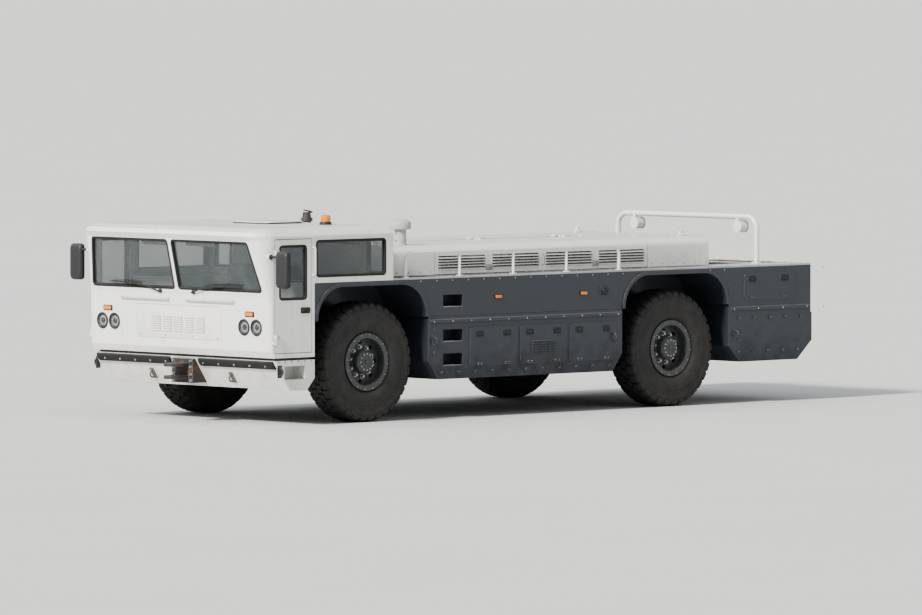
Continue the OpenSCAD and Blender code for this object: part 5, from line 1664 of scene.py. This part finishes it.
def seat_pads():
    """Cushion and backrest, blown up and sewn, about a seat's own place."""

    def cushion_held(p):
        return p.z < 0.150 or abs(abs(p.y) - 0.135) < 0.006

    def back_held(p):
        return p.x < -0.030 or abs(abs(p.y) - 0.130) < 0.006

    cushion = blown_up((-0.215, -0.225, 0.140), (0.238, 0.225, 0.250), cushion_held, 0.022)
    back = blown_up((-0.045, -0.215, 0.290), (0.045, 0.215, 0.840), back_held, 0.024)
    sewn(cushion, (-0.135, 0.135), (0.235,))
    sewn(back, (-0.130, 0.130), (0.520, 0.680))
    for v in back.vertices:
        v.co.x += leaning(v.co.z)
    return {"cushion": cushion, "back": back}


def leaning(z):
    """How far forward the backrest stands at a height."""
    return -0.172 + BACK_LEAN * (z - 0.270)


def build_seats():
    """Two sprung seats: blown-up cushions with sewn channels, on bellows, rails and shells."""
    pads = seat_pads()
    folds = [(0.012 + 0.0062 * i, 0.340 if i % 2 else 0.390) for i in range(17)]
    heights = [0.28 + 0.045 * i for i in range(13)]
    shell = [(z, 0.235 - 0.05 * max(0.0, (z - 0.60) / 0.26) ** 2) for z in heights]
    for label, side in SIDES.items():
        at = Vector((SEAT.x, side * SEAT.y, SEAT.z))
        for part, mesh in pads.items():
            shape = Shape().add(mesh, Matrix.Translation(at))
            stands_for = ["cab_seats"] if (label, part) == ("left", "cushion") else ()
            pad = piece(f"seat_{part}_{label}", shape, "seat_fabric", "chassis", 80, stands_for, loose=False)
        soft, hard = Shape(at), Shape(at)
        soft.skin([[(u, v, z) for u, v in round_plate(w, w - 0.02, 0.050)] for z, w in folds])
        belt = [(-0.19, 0.262, 0.150), (-0.10, 0.262, 0.225), (0.0, 0.250, 0.262)]
        soft.swept(belt, strip(0.0024, 0.046), up=(1, 0, 0.4))
        hard.block((-0.222, -0.232, 0.108), (0.243, 0.232, 0.142), 0.014, 3)
        section = [(-0.034, -1), (-0.050, -0.8), (-0.056, 0), (-0.050, 0.8), (-0.034, 1), (-0.026, 0.8),
                   (-0.026, -0.8)]
        hard.skin([[(leaning(z) + u, half * v, z) for u, v in section] for z, half in shell])
        for y in (-0.150, 0.150):
            hard.block((-0.195, y - 0.022, 0.0), (0.195, y + 0.022, 0.014), 0.004)
        for y in (-0.266, 0.266):
            hard.block((-0.170, y - 0.024, 0.430), (0.120, y + 0.024, 0.472), 0.018, 3)
            hard.block((-0.200, y - 0.014, 0.385), (-0.150, y + 0.010, 0.452), 0.008)
        hard.pipe([(0.10, 0.236, 0.125), (0.10, 0.262, 0.125), (0.20, 0.270, 0.128)], 0.008)
        hard.block((-0.160, -0.290, 0.225), (-0.125, -0.262, 0.290), 0.006)
        hard.pipe([(-0.145, -0.276, 0.11), (-0.142, -0.276, 0.23)], 0.010, 8)
        piece(f"seat_bellows_{label}", soft, "rubber")
        piece(f"seat_shell_{label}", hard, "cab_plastic")


FACE_FOOT = Vector((4.2635, 0, 1.446))
FACE_N = Vector((-0.953, 0, 0.302))
FACE_UP = Vector((0.302, 0, 0.953))
COLUMN = Vector((-0.574, 0, 0.819))
DRIVER_Y = SEAT.y


def tipped(degrees):
    """A turn about the sideways axis."""
    return Matrix.Rotation(math.radians(degrees), 3, "Y")


def build_dials(hard, metal, marks, glass):
    """Two big and two small dials: bezel, glass, ticks and needle."""

    def spoke(turn):
        return SIDEWAYS * math.cos(turn) + FACE_UP * math.sin(turn)

    dials = ((0.335, 0.070, 0.046), (0.525, 0.070, 0.046), (0.430, 0.095, 0.024), (0.430, 0.036, 0.024))
    for y, up, r in dials:
        at = FACE_FOOT + SIDEWAYS * y + FACE_UP * up
        bezel = [(r, 0.0), (r + 0.004, 0.001), (r + 0.004, 0.006), (r, 0.007), (r - 0.002, 0.003)]
        metal.turned(bezel, at, FACE_N, 28, True)
        glass.turned([(0.0, 0.0055), (r - 0.001, 0.0050), (r - 0.001, 0.003), (0.0, 0.003)], at, FACE_N, 28)
        for k in range(11):
            out = spoke(math.radians(225 - 27 * k)) * r
            marks.pipe([at + FACE_N * 0.0016 + out * share for share in (0.74, 0.90)], 0.0009, 4)
        marks.pipe([at + FACE_N * 0.0024, at + FACE_N * 0.0024 + spoke(3.6) * r * 0.72], 0.0010, 4)
        hard.turned([(0.004, 0.0), (0.004, 0.003), (0.0, 0.0035)], at, FACE_N, 12)


def build_dashboard():
    """Hooded instruments, switches, a screen, levers and pedals."""
    hard, metal, marks, glass = shapes(4)
    hood = [(4.262, 1.436), (4.263, 1.446), (4.3045, 1.577), (4.286, 1.584), (4.288, 1.596), (4.340, 1.600),
            (4.440, 1.562), (4.482, 1.478)]
    hard.plate(hood, 0.225, 0.635, "y", 0.006)
    build_dials(hard, metal, marks, glass)
    tilt = tipped(-18)
    hard.block((4.330, -0.150, 1.470), (4.352, 0.110, 1.620), 0.008, 3, tilt)

    def on_screen(u, v, w):
        return tilt @ Vector((w, u, v))

    display = round_plate(0.225, 0.125, 0.006, (-0.020, 0))
    glass.near((4.341, 0, 1.545)).plate(display, -0.0135, -0.0110, on_screen)
    hard.plate([(4.30, 1.446), (4.36, 1.460), (4.40, 1.50), (4.34, 1.50)], -0.05, 0.01, "y", 0.004)
    for i in range(16):
        y = 0.190 - 0.034 * i - (0.03 if i > 7 else 0.0)
        hard.block((4.2505, y - 0.012, 1.352), (4.2640, y + 0.012, 1.396), 0.003, 2, tipped(9))
        if i % 3 == 0:
            marks.block((4.2488, y - 0.006, 1.382), (4.2530, y + 0.006, 1.386), 0.001, 1)
    vent = [(0.040, 0.0), (0.040, 0.006), (0.034, 0.008), (0.030, 0.003), (0.0, 0.003)]
    for y in (-0.80, -0.60, 0.75, 0.86):
        metal.turned(vent, (4.262, y, 1.400), (-1, 0, 0.12), 24)
    hard.near((4.0800, DRIVER_Y, 1.3700))
    for side in (RIGHT, LEFT):
        hard.pipe([(0, 0, 0), (-0.030, side * 0.075, 0.020), (-0.045, side * 0.165, 0.035)], 0.006, 8)
    shroud = [(0.046, 0.0), (0.060, 0.02), (0.060, 0.11), (0.046, 0.135)]
    hard.turned(shroud, (0.020, 0, -0.030), COLUMN, 28)
    for y, wide in ((0.30, 0.075), (0.56, 0.065)):
        metal.block((4.296, y - wide / 2, 0.930), (4.306, y + wide / 2, 1.020), 0.003, 2, tipped(38))
        metal.pipe([(4.310, y, 0.975), (4.370, y, 1.060), (4.440, y, 1.230)], 0.009, 8, bend=0.04)
    cap = Shape((4.03015, DRIVER_Y, 1.440))
    boss = [(0.052, 0.012), (0.052, 0.024), (0.044, 0.033), (0.020, 0.036), (0.0, 0.0365)]
    cap.turned(boss, (0, 0, 0), COLUMN, 32)
    knob = [(0.009, 0.0), (0.009, 0.016), (0.021, 0.026), (0.023, 0.040), (0.017, 0.052), (0.0, 0.056)]
    on_rim = COLUMN * 0.014 + SIDEWAYS * 0.1224 + Vector((0.819, 0, 0.574)) * 0.160
    cap.turned(knob, on_rim, COLUMN, 20)
    piece("steering_wheel_cap", cap, "cab_plastic", "steering_wheel")
    piece("dashboard_parts", hard, "cab_plastic")
    piece("dashboard_metal", metal, "zinc")
    piece("dashboard_marks", marks, "rail_paint")
    piece("dashboard_glasses", glass, "dark_screen")


def build_console(hard, pale, red, metal):
    """Console between the seats: levers in their gates, switches, buttons and rails."""
    box = [(3.300, 1.0203), (3.860, 1.0203), (3.880, 1.300), (3.800, 1.400), (3.320, 1.440), (3.290, 1.400)]
    hard.plate(box, -0.120, 0.120, "y", 0.020)
    gear_lever = [(0.042, 0.0), (0.036, 0.012), (0.020, 0.034), (0.010, 0.050), (0.009, 0.110),
                  (0.020, 0.118), (0.026, 0.150), (0.018, 0.172), (0.0, 0.176)]
    hard.turned(gear_lever, (3.700, 0.045, 1.404), (0.10, 0, 1), 20)
    brake_lever = [(0.034, 0.0), (0.030, 0.010), (0.012, 0.022), (0.008, 0.070), (0.018, 0.080),
                   (0.018, 0.100), (0.0, 0.108)]
    hard.turned(brake_lever, (3.620, -0.050, 1.410), (0.05, 0, 1), 18)

    def on_top(x, y, size, radius=0.004, up=0.0, shape=hard):
        top = Vector((x, y, 1.440 - (x - 3.320) / 12 + up))
        shape.block(top - Vector(size) / 2, top + Vector(size) / 2, radius, 2, tipped(4.764))

    on_top(3.700, 0.045, (0.150, 0.090, 0.010))
    on_top(3.700, 0.045, (0.104, 0.030, 0.004), 0.0015, 0.006, metal)
    on_top(3.620, -0.050, (0.070, 0.070, 0.010))
    on_top(3.430, 0.000, (0.120, 0.200, 0.008), 0.003)
    for i in range(5):
        on_top(3.460, -0.072 + 0.036 * i, (0.036, 0.024, 0.016), 0.003, 0.006)
    for i, shape in enumerate((pale, red, pale, pale)):
        on_top(3.400, -0.066 + 0.044 * i, (0.024, 0.024, 0.012), 0.004, 0.005, shape)
    for y in (-0.095, 0.095):
        hard.pipe([(3.334, y, 1.060), (3.334, y, 1.380)], 0.006, 8)


def build_extinguisher(hard, red, metal):
    """Fire extinguisher with its valve, straps, bracket and hose, behind the right seat."""
    for shape in (hard, red, metal):
        shape.near((2.830, -0.690, FLOOR_Z + 0.002))
    bottle = [(0.0, 0.0), (0.060, 0.0), (0.072, 0.012), (0.075, 0.030), (0.075, 0.340), (0.066, 0.380),
              (0.036, 0.408), (0.026, 0.412)]
    red.turned(bottle, (0, 0, 0), UP, 32)
    valve = [(0.026, 0.405), (0.026, 0.430), (0.016, 0.436), (0.016, 0.462), (0.0, 0.464)]
    metal.turned(valve, (0, 0, 0), UP, 20)
    metal.pipe([(-0.01, 0, 0.455), (0.05, 0, 0.470), (0.12, 0, 0.450)], 0.007, 8)
    for z in (0.11, 0.29):
        strap = [(0.0755, -0.012), (0.0775, -0.012), (0.0775, 0.012), (0.0755, 0.012)]
        metal.turned(strap, (0, 0, z), UP, 32, True)
    metal.block((-0.130, -0.030, 0.068), (-0.070, 0.030, 0.338), 0.004)
    hose = [(0.02, 0, 0.45), (0.08, 0.02, 0.43), (0.09, 0.02, 0.22), (0.088, 0.02, 0.12)]
    hard.pipe(hose, 0.010, 8, bend=0.05)


def build_cab_lining():
    """Console, mats, headliner, visors, window trims, cab lamp and fire extinguisher."""
    hard, mats, pale, red, metal = shapes(5)
    build_console(hard, pale, red, metal)
    mats.plate(round_plate(1.16, 2 * TUB_Y - 0.08, 0.03, (3.345, 0)), FLOOR_Z, FLOOR_Z + 0.006, "z", 0.002)
    mats.plate(round_plate(0.46, 2.9, 0.03, (4.250, 0)), FOOTWELL_Z, FOOTWELL_Z + 0.006, "z", 0.002)
    for i in range(28):
        x = 4.040 + 0.0155 * i
        mats.block((x, -1.42, FOOTWELL_Z + 0.005), (x + 0.0065, 1.42, FOOTWELL_Z + 0.009), 0.0015, 1)
    pale.plate(round_plate(1.88, 3.02, 0.06, (3.720, 0)), CEILING_Z - 0.022, CEILING_Z - 0.001, "z", 0.008)
    for x in (3.10, 3.72, 4.34):
        pale.block((x - 0.012, -1.48, CEILING_Z - 0.027), (x + 0.012, 1.48, CEILING_Z - 0.020), 0.003, 1)
    lamp = [(0.070, 0.0), (0.070, 0.012), (0.058, 0.022), (0.0, 0.024)]
    metal.turned(lamp, (3.40, 0.0, CEILING_Z - 0.022), -UP, 28)
    for side in SIDES.values():
        tub = round_plate(1.10, 0.70, 0.03, (3.300, side * 1.185))
        mats.plate(tub, TUB_Z + 0.0001, TUB_Z + 0.0055, "z", 0.002)
        pale.block((4.640, side * 0.14, 2.120), (4.652, side * 0.66, 2.265), 0.005, 2, tipped(14))
        hard.pipe([(4.66, side * 0.12, 2.262), (4.66, side * 0.68, 2.262)], 0.005, 8)
        wall, face = side * (HULL_Y - WALL), side * (HULL_Y - WALL - 0.010)
        outer = round_plate(1.215, 0.520, 0.030, (3.335, 1.915))
        hole = round_plate(1.130, 0.440, 0.030, (3.335, 1.990))
        levels = ((outer, wall), (outer, face), (hole, face), (hole, wall))
        pale.skin([[(u, y, v) for u, v in outline] for outline, y in levels], True)
    build_extinguisher(hard, red, metal)
    piece("cab_console", hard, "cab_plastic")
    piece("cab_mats", mats, "rubber")
    piece("cab_lining", pale, "pale_plastic")
    piece("extinguisher", red, "red_enamel")
    piece("cab_metal", metal, "zinc")


# Axle ends and step liners
def build_running_gear():
    """Brake chambers and cap bolts on the knuckles, bolts and ribs on the axles' housings."""
    chamber = [(0.026, 0.0), (0.028, 0.010), (0.042, 0.016), (0.045, 0.038), (0.050, 0.041), (0.050, 0.048),
               (0.045, 0.051), (0.040, 0.076), (0.026, 0.084), (0.0, 0.086)]
    cap = [(0.046, 0.208), (0.046, 0.216), (0.030, 0.224), (0.0, 0.226)]
    for corner, side in CORNERS.items():
        kingpin = Vector((middle(f"rim_{corner}").x, side * 1.050, AXLE_Z))
        out = SIDEWAYS * side
        foot_at = kingpin + Vector((0.088, side * 0.022, 0.0))
        parts = Shape().turned(chamber, foot_at, FORWARD, 26)
        parts.turned(cap, kingpin, UP, 24)
        spots = bolt_circle(kingpin + out * 0.190, out, 0.200, 10, 0.020)
        spots += bolt_circle(foot_at + FORWARD * 0.048, FORWARD, 0.0475, 8, 0.007)
        piece(f"brake_chamber_{corner}", parts, "frame_paint", f"knuckle_{corner}")
        fasteners(f"drum_bolts_{corner}", spots, "zinc", HEX, f"knuckle_{corner}")
    spots, ribs = [], Shape()
    for axle in ("front_left", "rear_left"):
        x = middle(f"rim_{axle}").x
        for face, facing in ((x - 0.280, REARWARD), (x - 0.020, FORWARD)):
            spots += bolt_circle(Vector((face, 0, AXLE_Z)), facing, 0.205, 12, 0.024)
        for side in SIDES.values():
            for z in (AXLE_Z - 0.06, AXLE_Z + 0.06):
                ribs.block((x - 0.145, side * 0.30, z - 0.008), (x - 0.120, side * 0.80, z + 0.008), 0.004)
            feet = [(x + dx, side * y) for dx in (-0.19, 0.19) for y in (0.47, 0.57)]
            spots += [((*place, AXLE_Z + 0.150), UP, 0.026) for place in feet]
    piece("axle_ribs", ribs, "frame_paint")
    fasteners("axle_bolts", spots, "frame_paint")


def build_step_liners():
    """Pressed pockets behind the upper steps, open to the outside."""
    liners = Shape()
    x0, x1, z0, z1 = STEP_X[0] - 0.010, STEP_X[1] + 0.010, 1.340, 1.510
    outer = rectangle((x0, z0), (x1, z1))
    inner = rectangle((x0 + 0.004, z0 + 0.004), (x1 - 0.004, z1 - 0.004))
    for side in SIDES.values():
        front, back = side * (HULL_Y - 0.022), side * (HULL_Y - 0.190)
        levels = ((outer, front), (outer, back), (inner, back + side * 0.004), (inner, front))
        liners.skin([[(x, y, z) for x, z in outline] for outline, y in levels], True)
        liners.block((x0, back - side * 0.004, z0), (x1, back + side * 0.002, z1), 0.001, 1)
    piece("step_liners", liners, "hull_paint")


# Engine under the lids
BANK_X = [-0.865 + 0.205 * i for i in range(6)]
HEAD_Z = 1.705
FAN_HUB = Vector((-1.00, 0, 1.58))
PULLEY_X = -1.030
BELT_X = -1.017


def build_block(cast, fins):
    """Crankcase, flywheel housing and the ribbed gearbox behind it."""
    case = [(-0.20, 1.245), (0.20, 1.245), (0.235, 1.36), (0.30, 1.40), (0.30, 1.655), (-0.30, 1.655),
            (-0.30, 1.40), (-0.235, 1.36)]
    parts = ((-0.98, 0.30, 1.0, 1.0), (-1.00, -0.96, 1.04, 1.01), (0.27, 0.31, 1.06, 1.01))
    for x0, x1, wide, tall in parts:
        cast.plate([(y * wide, 1.45 + (z - 1.45) * tall) for y, z in case], x0, x1, "x", 0.010)
    bell = [(0.30, 0.0), (0.36, 0.03), (0.37, 0.06), (0.37, 0.10), (0.28, 0.20), (0.26, 0.24)]
    cast.turned(bell, (0.30, 0, 1.56), FORWARD, 40)
    cast.block((0.52, -0.27, 1.26), (0.98, 0.27, 1.80), 0.05, 4)
    output = [(0.24, 0.0), (0.26, 0.012), (0.26, 0.04), (0.12, 0.06), (0.10, 0.12)]
    cast.turned(output, (0.92, 0, 1.56), FORWARD, 36)
    for i in range(9):
        x = 0.56 + 0.047 * i
        fins.block((x, -0.285, 1.30), (x + 0.010, 0.285, 1.76), 0.004, 1)


def build_cylinders(cast, fins, pipes, bright):
    """Six heads with covers, fuel lines and ports, and both manifolds."""
    for x in BANK_X:
        cast.block((x - 0.092, -0.17, 1.65), (x + 0.092, 0.17, HEAD_Z), 0.012)
        bright.block((x - 0.078, -0.125, 1.700), (x + 0.078, 0.125, 1.795), 0.028, 4)
        for dx in (-0.05, 0.05):
            line = [(x + dx, -0.30, 1.50), (x + dx, -0.36, 1.56), (x + dx * 0.6, -0.25, 1.74),
                    (x + dx * 0.6, -0.12, 1.752)]
            pipes.pipe(line, 0.0045, 6, bend=0.03)
        cast.pipe([(x, -0.16, 1.68), (x, -0.27, 1.69), (x, -0.330, 1.690)], 0.030, 12, bend=0.03)
        fins.pipe([(x, 0.16, 1.68), (x, 0.27, 1.69), (x, 0.345, 1.66)], 0.026, 12, bend=0.04)
    cast.pipe([(-1.00, -0.345, 1.690), (0.22, -0.345, 1.690)], 0.050, 16)
    fins.pipe([(-0.93, 0.350, 1.66), (0.20, 0.350, 1.66)], 0.036, 14)


def engine_bolts():
    """Spots of the bolts on heads, covers, ports, flywheel housing and sump."""
    bolts = []
    for x in BANK_X:
        bolts += [((x + dx, dy, HEAD_Z), UP, 0.020) for dx in (-0.080, 0.080) for dy in (-0.150, 0.150)]
        bolts.append(((x, 0, 1.7945), UP, 0.026))
        bolts += [((x + dx, 0.30, 1.47), SIDEWAYS, 0.024) for dx in (-0.07, 0.07)]
    for turn in [0.52 * i for i in range(12)]:
        out = SIDEWAYS * math.cos(turn) + UP * math.sin(turn)
        bolts.append((Vector((0.405, 0, 1.56)) + out * 0.345, FORWARD, 0.026))
    for side in (LEFT, RIGHT):
        y = side * 0.232
        bolts += row((-0.94, y, 1.352), (0.24, y, 1.352), 12, (0, side, -0.4), 0.018)
    return bolts


def build_turbocharger(fins, rubbers):
    """Two scrolls on a shaft housing, the boost hose and the exhaust down to the bulkhead."""
    turbo = Vector((-0.30, 0.330, 1.800))
    for x, r in ((-0.085, 0.088), (0.070, 0.078)):
        scroll = [(0.030, -0.040), (r - 0.02, -0.038), (r, -0.020), (r, 0.020), (r - 0.02, 0.038),
                  (0.030, 0.040)]
        fins.turned(scroll, turbo + FORWARD * x, FORWARD, 30, True)
    fins.turned([(0.046, -0.05), (0.034, -0.02), (0.034, 0.03), (0.046, 0.05)], turbo, FORWARD, 24)
    boost = [turbo - FORWARD * 0.10, (-0.58, 0.330, 1.800), (-0.62, 0.10, 1.840), (-0.62, -0.30, 1.81),
             (-0.62, -0.345, 1.70)]
    rubbers.pipe(boost, 0.042, 16, bend=0.08)
    exhaust = [turbo + FORWARD * 0.09, (0.12, 0.330, 1.80), (0.42, 0.260, 1.870), (1.02, -0.480, 1.880),
               (1.53, -0.600, 1.880)]
    fins.pipe(exhaust, 0.042, 16, bend=0.12)


def build_fan():
    """Nine twisted blades on a hub."""
    fan = Shape()
    for turn in around(9):
        out = Vector((0, -math.sin(turn), math.cos(turn)))
        rings = []
        for r, pitch in ((0.07, 0.75), (0.17, 0.60), (0.285, 0.42)):
            flat = SIDEWAYS * math.cos(turn) + UP * math.sin(turn)
            across = FORWARD * math.sin(pitch) + flat * math.cos(pitch)
            centre = FAN_HUB - FORWARD * 0.105 + out * r
            thin = across.cross(out).normalized() * 0.0018
            wide = across * (0.030 + 0.10 * r)
            corner_steps = (-wide - thin, wide - thin, wide + thin, thin - wide)
            rings.append([centre + step for step in corner_steps])
        fan.skin(rings)
    boss = [(0.0, -0.135), (0.045, -0.132), (0.075, -0.120), (0.075, -0.085), (0.0, -0.085)]
    piece("engine_fan", fan.turned(boss, FAN_HUB, FORWARD, 28), "cab_plastic")
    duct = [(0.300, -0.150), (0.318, -0.150), (0.312, -0.075), (0.306, -0.072), (0.300, -0.078)]
    piece("engine_shroud", Shape().turned(duct, FAN_HUB, FORWARD, 48, True), "cab_plastic")


def build_belt_drive(cast, bright, rubbers):
    """Four pulleys, the belt round them and the alternator."""
    for y, z, r in ((0.0, 1.58, 0.072), (0.0, 1.36, 0.090), (0.225, 1.50, 0.042), (-0.225, 1.46, 0.055)):
        pulley = [(0.012, 0.0), (r, 0.002), (r - 0.012, 0.012), (r, 0.022), (0.012, 0.026)]
        bright.turned(pulley, (PULLEY_X, y, z), FORWARD, 30, True)
    run = [(0.010, 1.270), (0.275, 1.480), (0.225, 1.550), (0.0, 1.655), (-0.230, 1.525), (-0.275, 1.430)]
    belt = bent([(BELT_X, y, z) for y, z in run], 0.05, True)
    rubbers.swept(belt, strip(0.008, 0.018), True, FORWARD)
    alternator = [(0.045, 0.0), (0.062, 0.01), (0.066, 0.03), (0.066, 0.13), (0.056, 0.15), (0.0, 0.152)]
    cast.turned(alternator, (-0.995, 0.225, 1.50), FORWARD, 26)


def build_engine():
    """In-line diesel with its fan, manifolds, turbocharger, filters and gearbox, for the plain block."""
    cast, fins, pipes, rubbers, bright = shapes(5)
    build_block(cast, fins)
    build_cylinders(cast, fins, pipes, bright)
    build_turbocharger(fins, rubbers)
    build_belt_drive(cast, bright, rubbers)
    cast.block((-0.80, -0.40, 1.44), (0.02, -0.29, 1.57), 0.02, 3)
    filler = [(0.034, 0.0), (0.034, 0.035), (0.044, 0.040), (0.044, 0.058), (0.0, 0.062)]
    cast.turned(filler, (0.10, -0.20, 1.650), (0, -0.2, 1), 20)
    can = [(0.0, 0.0), (0.030, 0.002), (0.048, 0.016), (0.050, 0.030), (0.050, 0.190), (0.044, 0.200),
           (0.0, 0.202)]
    band = [(0.050, 0.150), (0.054, 0.155), (0.054, 0.180), (0.050, 0.185)]
    for x in (-0.70, -0.55, 0.12):
        at = Vector((x, 0.355, 1.300))
        bright.turned(can, at, UP, 28)
        bright.turned(band, at, UP, 24, True)
        cast.block(at + Vector((-0.055, -0.065, 0.195)), at + Vector((0.055, 0.045, 0.240)), 0.010)
    upper = [(-0.93, -0.08, 1.72), (-0.97, -0.17, 1.84), (-1.10, -0.270, 1.870), (-2.06, -0.270, 1.870)]
    rubbers.pipe(upper, 0.030, 14, bend=0.06)
    lower = [(-0.98, 0.18, 1.32), (-1.04, 0.24, 1.285), (-1.15, 0.30, 1.285), (-2.06, 0.30, 1.285)]
    rubbers.pipe(lower, 0.030, 14, bend=0.04)
    flange = [(0.001, -0.004), (0.030, -0.004), (0.030, 0.004), (0.010, 0.006), (0.008, 0.034),
              (0.001, 0.034)]
    ends = (((1.532, -0.600, 1.880), 0.044, REARWARD), ((-2.058, -0.270, 1.870), 0.031, FORWARD),
            ((-2.058, 0.300, 1.285), 0.031, FORWARD))
    for place, r, inward in ends:
        bright.turned([(r + rim, along) for rim, along in flange], place, inward, 24, True)
    rail = [(0.36, 0.20, 1.86), (0.20, 0.24, 1.83), (-0.02, 0.235, 1.735), (-0.86, 0.235, 1.735)]
    pipes.pipe(rail, 0.011, 8, bend=0.05)
    piece("engine_castings", cast, "engine_paint", stands_for=["engine"])
    piece("engine_hot_side", fins, "rusty_iron")
    piece("engine_lines", pipes, "zinc")
    piece("engine_rubber", rubbers, "rubber")
    piece("engine_covers", bright, "zinc")
    build_fan()
    fasteners("engine_bolts", engine_bolts(), "zinc")


build_tyres()
build_wheel_fittings()
build_window_rubbers()
build_wipers()
build_headlamps()
build_tail_lamps()
build_beacon()
build_mirrors()
build_doors()
build_cab_outside()
build_nose()
build_step_treads()
build_hull_sides()
build_decks()
build_tail()
build_work_lamps()
build_bonnet()
build_exhaust()
build_air_intake()
build_engine()
build_seats()
build_dashboard()
build_cab_lining()
build_running_gear()
build_step_liners()


def studio():
    """Pale floor, soft light from above and the left, and a pale surround."""
    floor = bpy.data.meshes.new("floor")
    reach = 1500.0
    floor.from_pydata([(-reach, -reach, 0), (reach, -reach, 0), (reach, reach, 0), (-reach, reach, 0)], [],
                      [(0, 1, 2, 3)])
    ground = bpy.data.objects.new("floor", floor)
    bpy.context.scene.collection.objects.link(ground)
    f = Finish("floor_grey")
    shade = f.blend(f.noise(0.35, 4.0) * 0.5, (0.60, 0.60, 0.59), (0.66, 0.66, 0.65))
    f.set(Base_Color=shade, Roughness=0.85)
    floor.materials.append(f.material)

    world = bpy.data.worlds.new("surround")
    bpy.context.scene.world = world
    world.use_nodes = True
    nodes, links = world.node_tree.nodes, world.node_tree.links
    back = nodes["Background"]
    place = nodes.new("ShaderNodeTexCoord")
    split = nodes.new("ShaderNodeSeparateXYZ")
    ramp = nodes.new("ShaderNodeValToRGB")
    links.new(place.outputs["Generated"], split.inputs[0])
    links.new(split.outputs[2], ramp.inputs[0])
    links.new(ramp.outputs[0], back.inputs[0])
    ramp.color_ramp.elements[0].color = (0.62, 0.63, 0.64, 1)
    ramp.color_ramp.elements[1].color = (0.92, 0.95, 1.0, 1)
    back.inputs[1].default_value = 0.80

    lights = {
        "key": ("SUN", 4.6, 7.0, (1.0, 0.965, 0.91), (math.radians(55), 0, math.radians(96))),
        "fill": ("SUN", 0.5, 50.0, (0.86, 0.92, 1.0), (math.radians(50), 0, math.radians(60))),
    }
    for name, (kind, power, spread, colour, turn) in lights.items():
        data = bpy.data.lights.new(name, kind)
        data.energy = power
        data.angle = math.radians(spread)
        data.color = colour
        lamp = bpy.data.objects.new(name, data)
        lamp.rotation_euler = turn
        bpy.context.scene.collection.objects.link(lamp)


VIEW_AZIMUTH = math.radians(137)
VIEW_ELEVATION = math.radians(2.5)
VIEW_DISTANCE = 110.0
SEEN_WIDTH = 11.4


def camera():
    """Long lens from the photograph's direction: far off, just above the horizontal, nose to the left."""
    low, high = CAD_BOX
    target = (low + high) / 2
    a, e = VIEW_AZIMUTH, VIEW_ELEVATION
    back = Vector((math.sin(a) * math.cos(e), -math.cos(a) * math.cos(e), math.sin(e)))
    data = bpy.data.cameras.new("camera")
    data.lens = data.sensor_width * VIEW_DISTANCE / SEEN_WIDTH
    data.clip_end = 2000
    eye = bpy.data.objects.new("camera", data)
    eye.location = target + back * VIEW_DISTANCE
    eye.rotation_mode = "QUATERNION"
    eye.rotation_quaternion = (-back).to_track_quat("-Z", "Y")
    bpy.context.scene.collection.objects.link(eye)
    bpy.context.scene.camera = eye


camera()
studio()
bpy.context.scene.view_settings.look = "AgX - Medium High Contrast"
